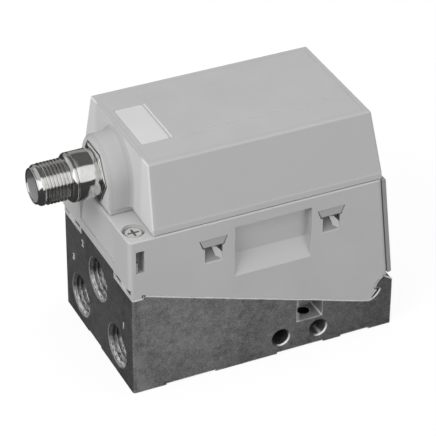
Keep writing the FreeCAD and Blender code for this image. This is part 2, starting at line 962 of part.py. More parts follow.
def armature_low():
    return pad_height + pilot_floor + pilot_nozzle_height + seal_disc_height


def pilot_base(y):
    x0 = pilot_x - pilot_length / 2
    base = box(x0, x0 + pilot_length, y - pilot_width / 2, y + pilot_width / 2, pad_height, pilot_top)
    base = round_corners(base, pilot_corner, UP)
    floor = pad_height + pilot_floor
    base = base.cut(post(pilot_chamber_radius, pilot_x, y, floor, pilot_top))
    base = base.fuse(post(pilot_nozzle_radius, pilot_x, y, floor - 0.5, floor + pilot_nozzle_height))
    cuts = [post(pilot_nozzle_bore, pilot_x, y, pad_height, floor + pilot_nozzle_height)]
    cuts.append(post(pilot_drill_radius, pilot_x - side_drill_offset, y, pad_height, floor))
    for x, screw_y in pilot_screw_places():
        if screw_y * y > 0:
            cuts.append(post(pilot_screw_radius + hole_clearance, x, screw_y, pad_height, pilot_top))
    return base.cut(cuts)


def pilot_tube(y):
    low = tube_floor()
    flange = pipe_z(pilot_chamber_radius - fit_gap, tube_bore_radius, pilot_x, y, low, pilot_top)
    tube = pipe_z(tube_radius, tube_bore_radius, pilot_x, y, low, low + tube_height)
    return tube.fuse(flange)


def pilot_pole(y):
    low = armature_low() + armature_length + pole_gap
    high = tube_floor() + tube_height
    pole = post(tube_bore_radius - fit_gap, pilot_x, y, low, high)
    pole = pole.fuse(post(tube_radius, pilot_x, y, high, high + pole_head_height))
    return pole.cut(post(spring_bore_radius, pilot_x, y, low, low + pole_bore_depth))


def pilot_armature(y):
    low = armature_low()
    high = low + armature_length
    rod = post(tube_bore_radius - running_gap, pilot_x, y, low, high)
    cuts = [post(seal_disc_radius, pilot_x, y, low, low + seal_disc_height),
            post(spring_bore_radius, pilot_x, y, high - armature_bore_depth, high)]
    for side in (-1, 1):
        x = pilot_x + side * tube_bore_radius
        half = armature_slot_width / 2
        cuts.append(box(x - armature_slot_depth, x + armature_slot_depth, y - half, y + half, low, high))
    return rod.cut(cuts)


def pilot_seal(y):
    low = armature_low() - seal_disc_height + fit_gap
    return post(seal_disc_radius, pilot_x, y, low, armature_low() + seal_disc_height)


def pilot_spring(y):
    low = armature_low() + armature_length - armature_bore_depth
    high = low + armature_bore_depth + pole_gap + pole_bore_depth
    return coil_spring(pilot_spring_radius, pilot_wire_radius, pilot_spring_turns, pilot_x, y, low, high)


def pilot_bobbin(y):
    low = coil_low()
    high = coil_high()
    spool = post(bobbin_barrel_radius, pilot_x, y, low, high)
    spool = spool.fuse([post(bobbin_flange_radius, pilot_x, y, low, low + bobbin_flange),
                        post(bobbin_flange_radius, pilot_x, y, high - bobbin_flange, high)])
    return spool.cut(post(tube_radius + fit_gap, pilot_x, y, low, high))


def pilot_winding(y):
    low = coil_low() + bobbin_flange
    return pipe_z(winding_radius, bobbin_barrel_radius, pilot_x, y, low, coil_high() - bobbin_flange)


def pilot_yoke(y):
    x0 = pilot_x - yoke_half_length
    x1 = pilot_x + yoke_half_length
    low = pilot_top
    high = coil_high() + yoke_thickness
    frame = box(x0, x1, y - yoke_width / 2, y + yoke_width / 2, low, high)
    frame = round_corners(frame, pilot_corner, ALONG_Y)
    window = box(x0 + yoke_thickness, x1 - yoke_thickness, y - yoke_width, y + yoke_width, coil_low(),
                 coil_high())
    return frame.cut([window, post(tube_radius + fit_gap, pilot_x, y, low, high)])


def pilot_terminals(y):
    top = board_bottom + board_thickness + terminal_rise
    pins = [post(terminal_radius, pilot_x, y + side * terminal_offset, coil_high(), top) for side in (-1, 1)]
    return Part.makeCompound(pins)


def pilot_screws():
    tip = pad_height - pilot_screw_reach
    screws = [cap_screw(pilot_screw_radius, pilot_screw_head, pilot_screw_head_height, x, y, pilot_top, tip,
                        pilot_screw_drive) for x, y in pilot_screw_places()]
    return Part.makeCompound(screws)


def rear_line(z):
    lean = (housing_rear_low - housing_rear_top) / (housing_top - housing_rear_low_height)
    return housing_rear_top + (housing_top - z) * lean


def rear_normal():
    lean = (housing_rear_low - housing_rear_top) / (housing_top - housing_rear_low_height)
    normal = V(1, 0, lean)
    normal.normalize()
    return normal


def cover_footprint(inset, z0, z1, overhang=0.0):
    half = side_y - inset
    rear = housing_rear_top + overhang - inset
    main = box(front_x + cover_front + inset, rear, -half, half, z0, z1)
    boss = box(front_x - boss_step + inset, front_x + cover_front + inset + 1, inset - boss_radius,
               boss_radius - inset, z0, z1)
    return main.fuse(boss).removeSplitter()


def housing_block():
    bottom = ledge_height + seam_gap
    inside = slope_foot
    ledge_rear = front_x + ledge_depth
    points = [(housing_front, bottom), (housing_front, housing_top), (housing_rear_top, housing_top),
              (housing_rear_low, housing_rear_low_height),
              (housing_rear_low - tail_bevel_run, housing_rear_low_height - tail_bevel_rise),
              (rear_x - gullet_inset, inside), (ledge_rear, inside), (ledge_rear, bottom)]
    block = prism_y(points, -side_y, side_y)
    block = round_corners(block, housing_corner, UP, lambda m: m.z > slope_top and abs(m.y) > side_y - 0.1)
    rim = [edge for edge in block.Edges if edge.BoundBox.ZMin > housing_top - 0.01]
    return block.makeChamfer(rim_bead, rim)


def housing_cavity():
    x0 = housing_front + housing_wall
    half = side_y - housing_wall
    high = housing_top + 1
    floor = pocket_floor
    points = [(x0, floor), (x0, high), (rear_line(high) - housing_wall, high),
              (rear_line(cavity_bend) - housing_wall, cavity_bend), (cavity_rear_low, cavity_step),
              (cavity_rear_low, floor)]
    return prism_y(points, -half, half)


def window_points(start, gap):
    top_half = window_top_width / 2 - gap
    low_half = window_low_width / 2 - gap
    middle = front_x + start + window_top_width / 2
    return [(middle - top_half, window_top - gap), (middle + top_half, window_top - gap),
            (middle + low_half, window_low + gap), (middle - low_half, window_low + gap)]


def window_cuts():
    cuts = []
    for start in window_starts:
        cuts.append(prism_y(window_points(start, 0), -side_y - 1, housing_wall + 1 - side_y))
        middle = front_x + start + window_top_width / 2
        half = scoop_pocket_width / 2
        wedge_top = window_low - scoop_pocket_opening
        cuts.append(box(middle - half, middle + half, -side_y - 1, housing_wall + 1 - side_y,
                        wedge_top, window_low + snap_clearance))
        wedge = [V(middle - half, -side_y, wedge_top), V(middle - half, -side_y, scoop_pocket_low),
                 V(middle - half, scoop_pocket_depth - side_y, wedge_top)]
        cuts.append(Part.Face(Part.makePolygon(wedge + wedge[:1])).extrude(V(2 * half, 0, 0)))
    return cuts


def finger_cut(extra):
    start = front_x + finger_start - extra
    end = front_x + finger_end + extra
    deep = finger_depth + extra
    profile = [V(start, -side_y - 1, finger_low - extra), V(start, -side_y, finger_low - extra),
               V(start, deep - side_y, finger_back_low - extra), V(start, deep - side_y, finger_top + extra),
               V(start, -side_y - 1, finger_top + extra)]
    return Part.Face(Part.makePolygon(profile + profile[:1])).extrude(V(end - start, 0, 0))


def corner_slot():
    start = front_x + corner_slot_start
    end = start + corner_slot_length
    slot = box(start, end, -side_y - 1, corner_slot_depth - side_y, corner_slot_low, corner_slot_high)
    step = box(start, start + corner_slot_step_width, corner_slot_step_inset - side_y,
               corner_slot_depth - side_y, corner_slot_low, corner_slot_step)
    return slot.cut(step)


def front_scoop():
    outside = housing_front - 1
    points = [(outside, scoop_low), (housing_front + scoop_foot_depth, scoop_low),
              (housing_front + scoop_depth, scoop_high),
              (outside, scoop_high)]
    return prism_y(points, -scoop_near, scoop_far)


def front_foot_cuts():
    low = ledge_height
    high = front_rib_top + front_rib_gap
    outside = housing_front - 1
    setback = housing_front + foot_setback
    rib_half = front_rib_half_width + front_rib_gap
    cuts = [box(outside, setback, -side_y - 1, side_y + 1, low, high),
            box(outside, front_x + front_rib_depth + front_rib_gap, -rib_half, rib_half, low, high)]
    slot_low = low + foot_slot_rise
    for near, far in foot_slots:
        slot = box(outside, setback + foot_slot_depth, near, far, slot_low, high)
        cuts += [slot, mirrored(slot)]
    return cuts


def front_skirt():
    start = housing_front + foot_setback
    end = front_x + front_rib_depth
    near = front_rib_half_width + front_rib_gap
    low = ledge_height + skirt_gap
    skirt = box(start, end, near, side_y - skirt_edge, low, ledge_height + foot_slot_rise)
    return [skirt, mirrored(skirt)]


def board_screw_places():
    x0 = board_front + board_screw_inset
    x1 = board_rear - board_screw_inset
    y = board_half_width - board_screw_inset
    return [(x, side * y) for x in (x0, x1) for side in (-1, 1)]


def housing_inside():
    backing_half = scoop_near + scoop_backing
    backing_rear = housing_front + housing_wall + scoop_backing
    seal_floor = housing_top - seal_depth
    solids = [box(housing_front, backing_rear, -backing_half, backing_half, ledge_height, seal_floor)]
    pad_low = housing_top - screw_pad_thickness
    pad_rear_x = front_x + cover_front + housing_wall
    for side in (-1, 1):
        edge = side * side_y
        pad_inner = side * (boss_radius - housing_wall)
        column = side * (screw_offset - screw_column_half)
        solids.append(box(housing_front, pad_rear_x, min(edge, pad_inner), max(edge, pad_inner),
                          pad_low, housing_top))
        solids.append(box(housing_front, screw_x + screw_column_half, min(edge, column), max(edge, column),
                          ledge_height, pad_low + housing_wall))
        wall = side * (side_y - housing_wall / 2)
        tip = side * (board_half_width - board_screw_inset - shelf_margin)
        for x, _ in board_screw_places()[::2]:
            solids.append(box(x - shelf_length / 2, x + shelf_length / 2, min(wall, tip), max(wall, tip),
                              board_bottom - shelf_height, board_bottom))
    return solids


def housing():
    block = housing_block()
    envelope = block.copy()
    shell = block.cut(housing_cavity())
    bulge = finger_cut(finger_wall)
    inside = [solid.common(envelope) for solid in housing_inside() + [bulge, mirrored(bulge)]]
    shell = shell.fuse(inside)
    cuts = [metal_prism(seam_gap)]
    for cut in window_cuts() + [finger_cut(0), corner_slot()]:
        cuts.append(cut)
        cuts.append(mirrored(cut))
    cuts.append(front_scoop())
    cuts += front_foot_cuts()
    seal_floor = housing_top - seal_depth
    cuts.append(cover_footprint(seal_inset, seal_floor, housing_top).cut(
        cover_footprint(seal_inset + seal_width, seal_floor, housing_top)))
    for side in (-1, 1):
        cuts.append(post(screw_recess_radius, screw_x, side * screw_offset, housing_top - screw_recess_depth,
                         housing_top))
        cuts.append(post(screw_hole_radius, screw_x, side * screw_offset, ledge_height, housing_top))
        root = peg_root(side)
        depth = rear_normal() * (housing_wall + 1)
        cuts.append(drill(rear_plate_peg_radius + fit_gap, root, root - depth))
    board_tap = board_bottom - board_screw_reach - tap_allowance
    for x, y in board_screw_places():
        cuts.append(post(board_screw_radius, x, y, board_tap, board_bottom))
    shell = shell.cut(cuts)
    return shell.fuse(front_skirt()).removeSplitter()


def housing_gasket():
    plan = plan_ring(gasket_inset, gasket_width)
    holes = [box(rear_x - slope_foot_inset, rear_x, -side_y, side_y, 0, housing_top)]
    tabs = []
    for side in (-1, 1):
        y = side * screw_offset
        tabs.append(box(front_x + gasket_tab_inset, screw_x + gasket_tab, y - gasket_tab, y + gasket_tab,
                        0, housing_top))
        holes.append(post(screw_radius + hole_clearance, screw_x, y, 0, housing_top))
    plan = plan.fuse(tabs)
    return metal_prism(seam_gap).cut(metal_prism(0)).common(plan).cut(holes)


def screw_seat():
    return housing_top - screw_recess_depth


def housing_screws():
    screws = []
    for side in (-1, 1):
        y = side * screw_offset
        top = screw_seat() + screw_head_height
        screw = post(screw_radius, screw_x, y, ledge_height - screw_reach, screw_seat())
        screw = screw.fuse(post(screw_head_radius, screw_x, y, screw_seat(), top))
        arm = screw_drive_arm
        half = screw_drive_half
        low = top - screw_drive_depth
        cross = box(screw_x - arm, screw_x + arm, y - half, y + half, low, top)
        cross = cross.fuse(box(screw_x - half, screw_x + half, y - arm, y + arm, low, top))
        screws.append(screw.cut(cross))
    return Part.makeCompound(screws)


def peg_root(side):
    middle = (housing_top + housing_rear_low_height) / 2
    return V(rear_line(middle), side * rear_plate_peg_offset, middle)


def rear_plate():
    normal = rear_normal()
    top = housing_top - rear_plate_top_gap
    low = housing_rear_low_height + rear_plate_low_gap
    half = side_y - rear_plate_side_gap
    corners = []
    for z in (top, low):
        corners.append(V(rear_line(z), -half, z) + normal * fit_gap)
    corners.append(corners[1] + normal * rear_plate_thickness)
    corners.append(corners[0] + normal * rear_plate_thickness)
    plate = Part.Face(Part.makePolygon(corners + corners[:1])).extrude(V(0, 2 * half, 0))
    half_thickness = rear_plate_thickness / 2
    plate = round_corners(plate, rear_plate_edge, ALONG_Y, lambda m: m.x > rear_line(m.z) + half_thickness)
    pegs = []
    for side in (-1, 1):
        start = peg_root(side) + normal * rear_plate_thickness / 2
        pegs.append(drill(rear_plate_peg_radius, start, peg_root(side) - normal * rear_plate_peg_length))
    return plate.fuse(pegs)


def arch(radius, x0, x1, low):
    top = V(x0, 0, axis_height + radius)
    left = V(x0, -radius, axis_height)
    right = V(x0, radius, axis_height)
    edges = [line(V(x0, -radius, low), left), arc(left, top, right), line(right, V(x0, radius, low)),
             line(V(x0, radius, low), V(x0, -radius, low))]
    return Part.Face(Part.Wire(edges)).extrude(V(x1 - x0, 0, 0))


def cover_low():
    return housing_top + cover_seam


def cover_shape(inset, low, high):
    x0 = front_x + cover_front + inset
    x1 = housing_rear_top + cover_rear_overhang - inset
    top_x0 = front_x + cover_top_front + inset
    top_x1 = x1 - cover_top_rear_inset
    half = side_y - inset
    return frustum((x0, x1, half, low), (top_x0, top_x1, half - cover_top_side_inset, high))


def snap_arms():
    solids = []
    for start in window_starts:
        middle = front_x + start + window_top_width / 2
        half = window_low_width / 2
        arm = box(middle - half, middle + half, -snap_outer, snap_thickness - snap_outer,
                  window_low + snap_clearance, housing_top + snap_root_rise)
        root = snap_thickness / 2 - snap_outer
        head = prism_y(window_points(start, snap_clearance), snap_reach - side_y, root)
        solids += [arm, head, mirrored(arm), mirrored(head)]
    return solids


def on_boss_root(edge):
    bounds = edge.BoundBox
    near = front_x + cover_front - 0.1 < bounds.XMin and bounds.XMax < front_x + cover_top_front + 0.1
    beside = max(abs(bounds.YMin), abs(bounds.YMax)) < boss_radius + 0.1
    return near and beside and bounds.ZLength > 1


def cover():
    low = cover_low()
    outer = cover_shape(0, low, cover_top)
    upper = [edge for edge in outer.Edges if edge.CenterOfMass.z > low + cover_band_height]
    outer = outer.makeFillet(cover_corner, upper)
    boss_x = front_x - boss_step
    boss = arch(boss_radius, boss_x, boss_x + boss_depth, low)
    front_edges = [edge for edge in boss.Edges if edge.BoundBox.XMax < boss_x + 0.01]
    rim = [edge for edge in front_edges if edge.BoundBox.ZMax > low + 0.1]
    boss = boss.makeFillet(boss_rim_round, rim)
    panel_front = front_x + label_start + label_length + panel_gap
    panel_rear = housing_rear_top + cover_rear_overhang - cover_top_rear_inset - panel_rear_gap
    panel = frustum((panel_front, panel_rear, panel_half_width, cover_top - panel_height),
                    (panel_front + panel_height, panel_rear - panel_height, panel_half_width - panel_height,
                     cover_top + panel_height))
    outer = outer.fuse([boss, panel])
    root = [edge for edge in outer.Edges if on_boss_root(edge)]
    outer = outer.makeFillet(boss_root_round, root)
    band = box(boss_x - 1, rear_x, -side_y - 1, side_y + 1, low, low + cover_band_height).cut(
        cover_footprint(cover_band_inset, low, low + cover_band_height, cover_rear_overhang))
    shell = outer.cut(band)
    cavity = cover_shape(cover_wall, low, cover_top - cover_roof)
    boss_cavity = arch(boss_radius - cover_wall, boss_x + boss_front_wall, boss_x + boss_depth + 1, low)
    shell = shell.cut([cavity, boss_cavity]).fuse(snap_arms())
    recess = label_recess()
    seat = boss_x + flange_recess_depth
    cuts = [recess, hexagon_x(flange_across_flats + flange_recess_gap, boss_x, seat, 0, axis_height),
            rod_x(tail_radius + hole_clearance, boss_x, boss_x + boss_front_wall, 0, axis_height)]
    return shell.cut(cuts)


def label_recess():
    start = front_x + label_start
    return box(start, start + label_length, -label_half_width, label_half_width,
               cover_top - label_thickness, cover_top + 1)


def label_plate():
    start = front_x + label_start + label_gap
    end = front_x + label_start + label_length - label_gap
    half = label_half_width - label_gap
    plate = box(start, end, -half, half, cover_top - label_thickness, cover_top)
    return round_corners(plate, label_corner, UP)


def cover_seal():
    low = housing_top - seal_depth
    outer = cover_footprint(seal_inset + fit_gap, low, cover_low())
    return outer.cut(cover_footprint(seal_inset + seal_width - fit_gap, low, cover_low()))


def connector_seat():
    return front_x - boss_step + flange_recess_depth


def connector_front():
    return front_x - boss_step - connector_reach


def turned_x(points):
    wire = Part.makePolygon([V(x, 0, axis_height + r) for x, r in points + points[:1]])
    return Part.Face(wire).revolve(V(0, 0, axis_height), ALONG_X, 360)


def thread_start():
    return connector_front() + thread_chamfer


def thread_end():
    return thread_start() + thread_length


def connector_shell():
    seat = connector_seat()
    front = connector_front()
    flange_front = seat - flange_length
    flange_middle = seat - flange_length / 2
    collar_front = thread_end() + neck_length
    collar_rear = collar_front + collar_length
    barrel_front = collar_rear + collar_groove_length
    rear = seat + tail_length
    outline = [(front, shell_bore_radius), (front, thread_end_radius),
               (thread_start(), thread_radius), (thread_end(), thread_radius),
               (thread_end(), neck_radius), (collar_front, neck_radius),
               (collar_front, collar_radius - collar_chamfer), (collar_front + collar_chamfer, collar_radius),
               (collar_rear, collar_radius), (collar_rear, collar_groove_radius),
               (barrel_front, collar_groove_radius), (barrel_front + barrel_chamfer, collar_radius),
               (flange_middle, collar_radius), (flange_middle, tail_radius), (rear, tail_radius),
               (rear, shell_bore_radius)]
    flange = hexagon_x(flange_across_flats, flange_front, seat, 0, axis_height)
    groove = pipe_x(seal_ring_radius + connector_seal_section, seal_ring_radius - connector_seal_section,
                    seat - connector_groove_depth, seat, 0, axis_height)
    middle_radius = (tail_radius + shell_bore_radius) / 2
    flange = flange.cut(rod_x(middle_radius, flange_front, seat, 0, axis_height))
    return turned_x(outline).fuse(flange).cut(groove)


def connector_seal():
    section = connector_groove_depth / 2
    points = []
    for along, out in facet_circle(section):
        points.append((connector_seat() - section + along, seal_ring_radius + out))
    return turned_x(points)


def connector_nut():
    start = front_x - boss_step + boss_front_wall
    nut = hexagon_x(nut_across_flats, start, start + nut_height, 0, axis_height)
    nut = nut.common(rod_x(nut_corner_radius, start, start + nut_height, 0, axis_height))
    return nut.cut(rod_x(tail_radius + fit_gap, start, start + nut_height, 0, axis_height))


def insert_ends():
    front = connector_front() + insert_front_depth
    return (front, connector_seat() + tail_length)


def connector_insert():
    front, rear = insert_ends()
    insert = rod_x(shell_bore_radius - fit_gap, front, rear, 0, axis_height)
    flat = box(front, rear, -shell_bore_radius, shell_bore_radius,
               axis_height + shell_bore_radius - insert_flat, axis_height + shell_bore_radius)
    holes = [rod_x(pin_radius + pin_gap, front, rear, y, z) for y, z in pin_places()]
    return insert.cut([flat] + holes)


def pin_places():
    places = [(0.0, axis_height)]
    for k in range(4):
        angle = math.radians(45 + 90 * k)
        places.append((pin_circle * math.cos(angle), axis_height + pin_circle * math.sin(angle)))
    return places


def connector_pins():
    front, rear = insert_ends()
    pins = []
    for y, z in pin_places():
        tip = front - pin_front
        pin = rod_x(pin_radius, tip + pin_taper, rear + pin_tail, y, z)
        cone = Part.makeCone(pin_radius / 2, pin_radius, pin_taper, V(tip, y, z), ALONG_X)
        pins.append(pin.fuse(cone))
    return Part.makeCompound(pins)


def connector_leads():
    _, rear = insert_ends()
    start = rear + pin_tail
    bend = lead_bend
    board_top = board_bottom + board_thickness
    leads = []
    for y, z in pin_places():
        x = start + bend + lead_radius + (z - axis_height + pin_circle) / 2
        centre = V(x - bend, y, z - bend)
        middle = centre + V(bend * math.sin(math.pi / 4), 0, bend * math.cos(math.pi / 4))
        run_end = V(x - bend, y, z)
        drop = V(x, y, z - bend)
        path = Part.Wire([line(V(start, y, z), run_end), arc(run_end, middle, drop),
                          line(drop, V(x, y, board_top))])
        section = Part.Wire([Part.makeCircle(lead_radius, V(start, y, z), ALONG_X)])
        leads.append(path.makePipeShell([section], True, False))
    return Part.makeCompound(leads)


def circuit_board():
    board = box(board_front, board_rear, -board_half_width, board_half_width, board_bottom,
                board_bottom + board_thickness)
    board = round_corners(board, board_corner, UP)
    high = board_bottom + board_thickness
    radius = board_screw_radius + hole_clearance
    cuts = [post(radius, x, y, board_bottom, high) for x, y in board_screw_places()]
    for side in (-1, 1):
        for end in (-1, 1):
            y = side * pilot_offset + end * terminal_offset
            cuts.append(post(terminal_radius + hole_clearance, pilot_x, y, board_bottom, high))
    for x, y in sensor_pin_places():
        cuts.append(post(terminal_radius + hole_clearance, x, y, board_bottom, high))
    return board.cut(cuts)


def board_screws():
    seat = board_bottom + board_thickness
    tip = board_bottom - board_screw_reach
    radius = board_screw_radius - fit_gap
    height = board_screw_head_height
    screws = [cap_screw(radius, board_screw_head, height, x, y, seat, tip, board_screw_drive)
              for x, y in board_screw_places()]
    return Part.makeCompound(screws)


def sensor_pin_places():
    half = sensor_pin_pitch / 2
    places = [(channel_x, half)]
    places += [(channel_x + side * sensor_pin_pitch, -half) for side in (-1, 1)]
    return places


def pressure_sensor():
    low = sensor_low
    top = sensor_top
    can = post(sensor_radius, channel_x, 0, low, top)
    can = can.fuse(post(sensor_radius - sensor_step, channel_x, 0, top, top + sensor_step))
    can = can.cut(post(pilot_drill_radius, channel_x, 0, low, (low + top) / 2))
    outer = sensor_seal_radius + sensor_seal_section + fit_gap
    inner = sensor_seal_radius - sensor_seal_section - fit_gap
    groove = pipe_z(outer, inner, channel_x, 0, low, low + 2 * sensor_seal_section)
    pin_top = board_bottom + board_thickness + terminal_rise
    pins = [post(terminal_radius, x, y, top, pin_top) for x, y in sensor_pin_places()]
    return can.cut(groove).fuse(pins)


def sensor_seal():
    middle = sensor_low + sensor_seal_section
    return seal_ring(sensor_seal_radius, sensor_seal_section, channel_x, 0, middle)


def board_chips():
    top = board_bottom + board_thickness
    solids = []
    for reach, y, length, width, height in chips:
        x = valve_x + reach
        solids.append(box(x - length / 2, x + length / 2, y - width / 2, y + width / 2, top, top + height))
    return Part.makeCompound(solids)


def board_capacitors():
    top = board_bottom + board_thickness
    cans = []
    for side in (-1, 1):
        can = post(capacitor_radius, capacitor_x, side * capacitor_offset, top, top + capacitor_height)
        cans.append(can.makeChamfer(capacitor_chamfer, [can.Edges[0]]))
    return Part.makeCompound(cans)


def board_inductor():
    top = board_bottom + board_thickness
    half = inductor_width / 2
    core = box(inductor_x - half, inductor_x + half, inductor_y - half, inductor_y + half, top,
               top + inductor_height)
    return round_corners(core, inductor_corner, UP)


def pilot_parts(name, y):
    return {
        name + "_valve_base": pilot_base(y),
        name + "_valve_tube": pilot_tube(y),
        name + "_valve_pole": pilot_pole(y),
        name + "_armature": pilot_armature(y),
        name + "_armature_seal": pilot_seal(y),
        name + "_armature_spring": pilot_spring(y),
        name + "_coil_bobbin": pilot_bobbin(y),
        name + "_coil_winding": pilot_winding(y),
        name + "_coil_yoke": pilot_yoke(y),
        name + "_coil_terminals": pilot_terminals(y),
    }


def build():
    parts = {
        "valve_body": valve_body(),
        "supply_seat": supply_seat(),
        "valve_plug": valve_plug(),
        "plug_seals": plug_seals(),
        "stem_seal": stem_seal(),
        "plug_circlip": plug_circlip(),
        "supply_poppet": supply_poppet(),
        "poppet_disc": poppet_disc(),
        "poppet_spring": poppet_spring(),
        "relay_piston": relay_piston(),
        "piston_seal": piston_seal(),
        "relay_spring": relay_spring(),
        "pilot_bonnet": pilot_bonnet(),
        "bonnet_seal": bonnet_seal(),
        "bonnet_screws": bonnet_screws(),
        "pilot_screws": pilot_screws(),
        "housing": housing(),
        "housing_gasket": housing_gasket(),
        "housing_screws": housing_screws(),
        "rear_plate": rear_plate(),
        "cover": cover(),
        "cover_seal": cover_seal(),
        "label_plate": label_plate(),
        "connector_shell": connector_shell(),
        "connector_seal": connector_seal(),
        "connector_nut": connector_nut(),
        "connector_insert": connector_insert(),
        "connector_pins": connector_pins(),
        "connector_leads": connector_leads(),
        "circuit_board": circuit_board(),
        "board_screws": board_screws(),
        "pressure_sensor": pressure_sensor(),
        "sensor_seal": sensor_seal(),
        "board_chips": board_chips(),
        "board_capacitors": board_capacitors(),
        "board_inductor": board_inductor(),
    }
    parts.update(pilot_parts("fill", -pilot_offset))
    parts.update(pilot_parts("vent", pilot_offset))
    return parts


def main():
    os.makedirs("parts", exist_ok=True)
    for name, shape in build().items():
        shape.exportStep("parts/" + name + ".step")


main()
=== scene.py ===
import json
import math
import bmesh
import bpy
from mathutils import Matrix, Vector


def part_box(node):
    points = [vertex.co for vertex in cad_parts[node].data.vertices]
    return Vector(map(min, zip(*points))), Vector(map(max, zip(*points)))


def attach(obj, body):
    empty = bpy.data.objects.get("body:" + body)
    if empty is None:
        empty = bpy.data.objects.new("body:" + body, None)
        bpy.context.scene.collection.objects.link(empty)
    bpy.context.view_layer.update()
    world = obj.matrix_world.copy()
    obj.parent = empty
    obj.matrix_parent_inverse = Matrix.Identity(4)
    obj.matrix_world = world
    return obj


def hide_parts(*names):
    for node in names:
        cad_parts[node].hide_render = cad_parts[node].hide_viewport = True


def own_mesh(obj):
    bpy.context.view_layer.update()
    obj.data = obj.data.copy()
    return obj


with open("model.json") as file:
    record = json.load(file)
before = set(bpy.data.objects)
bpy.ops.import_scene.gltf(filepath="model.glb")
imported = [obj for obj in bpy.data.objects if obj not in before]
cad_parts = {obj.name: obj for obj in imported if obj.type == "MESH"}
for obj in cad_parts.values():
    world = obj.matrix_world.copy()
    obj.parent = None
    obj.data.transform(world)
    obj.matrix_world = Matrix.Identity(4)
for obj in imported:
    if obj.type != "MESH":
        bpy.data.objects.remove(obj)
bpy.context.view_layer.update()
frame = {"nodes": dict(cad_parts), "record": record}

MM = 0.001
NODES = frame["nodes"]
FRONT_FACE_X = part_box("valve_body")[0][0]

# The camera, found from the photograph; lengths in hundredths of the metal body's length.
BODY_UNIT = 0.82 * MM
CAMERA_TURN, CAMERA_TILT, CAMERA_ROLL = (math.radians(v) for v in (-25.251, 33.827, 0.408))
CAMERA_ACROSS, CAMERA_ABOVE, CAMERA_BACK = 29.017, 60.589, 827.325
BODY_MIDDLE = (50.0, 30.35, 0.0)
FRAME_PIXELS = 436
FOCAL_PIXELS = 2403.1
SENSOR_MM = 36

# What metal mirrors: each panel's direction, where it starts and ends, and its light outside and inside.
SOFTBOX_SIDE = (0.0, -0.93, -0.37)
BACKDROP_SIDE = (0.0, 0.515, -0.857)
FRONT_SIDE = (-0.98, 0.0, 0.2)
PANELS = ((SOFTBOX_SIDE, -0.04, 0.04, 0.11, 0.90),
          (BACKDROP_SIDE, -0.04, 0.04, 0.0, 0.22),
          (FRONT_SIDE, 0.40, 0.70, 0.0, 0.42))

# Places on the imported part, in millimetres. Two numbers without a note are x and the distance from the
# middle plane, which is called side.
BODY_SIDE = 24.9
NEAR_FRONT_X = -40.9
LEDGE_Z = 31.9
DOWN_HOLE = (14.4, 20.5)
DOWN_POCKET_X = (10.0, 18.5)
DOWN_POCKET_SIDE = 17.7
DOWN_POCKET_Z = 9.4
SIDE_HOLES_X = (5.2, 17.2)
SIDE_HOLE_Z = 5.5
SIDE_CHAMFER_FOOT = 24.52
HOUSING_SCREW = (-38.0, 19.4)
PAD_Z = 50.9
SCOOP_X = (-10.6, 14.2)
WINDOWS = (("front", -16.3), ("rear", 20.2))
MAIN_VALVE_X = -13.0
PILOT_VALVE_X, PILOT_VALVE_Y = 15.5, 7.6
SIDES = ((-1, "right"), (1, "left"))

# Each port's axis and each numeral's middle, as y and z in millimetres.
PORTS = (("outlet", 0.0, 23.6), ("supply", -13.4, 9.35), ("exhaust", 13.4, 9.35))
NUMERALS = (("2", 10.9, 29.2), ("3", 18.2, 20.0), ("1", -18.5, 19.6))

# Lines drawn on the cover's top, in millimetres: a long light one beside the label, a painted highlight of the
# raised panel's edge, and a frame near the edge.
TOP_Z = 70.5
LABEL_LINE_X, LABEL_LINE_SIDE = (-22.4, 32.2), (9.6, 9.95)
FRAME_LINE_X, FRAME_LINE_SIDE = (-32.4, 32.4), (18.25, 18.5)
FRAME_LINE_FRONT, FRAME_LINE_REAR = (-32.6, -32.35), (32.2, 32.6)

# A surface faces forward where its direction's x is under this, within the soft limit either way.
FORWARD = -0.5
FORWARD_SOFT = 0.2


# ---------------------------------------------------------------- camera
def camera():
    turn, tilt, roll = CAMERA_TURN, CAMERA_TILT, CAMERA_ROLL
    back = Vector((math.sin(turn) * math.cos(tilt), -math.cos(turn) * math.cos(tilt), math.sin(tilt)))
    right = Vector((math.cos(turn), math.sin(turn), 0))
    up = back.cross(right)
    across = right * math.cos(roll) + up * math.sin(roll)
    above = up * math.cos(roll) - right * math.sin(roll)
    place = across * CAMERA_ACROSS + above * CAMERA_ABOVE + back * CAMERA_BACK
    place = (place - Vector(BODY_MIDDLE)) * BODY_UNIT
    data = bpy.data.cameras.new("camera")
    data.lens = FOCAL_PIXELS * SENSOR_MM / FRAME_PIXELS
    data.sensor_width = SENSOR_MM
    data.clip_end = 20
    ob = bpy.data.objects.new("camera", data)
    bpy.context.scene.collection.objects.link(ob)
    ob.matrix_world = Matrix.Translation(place) @ Matrix((across, above, back)).transposed().to_4x4()
    bpy.context.scene.camera = ob


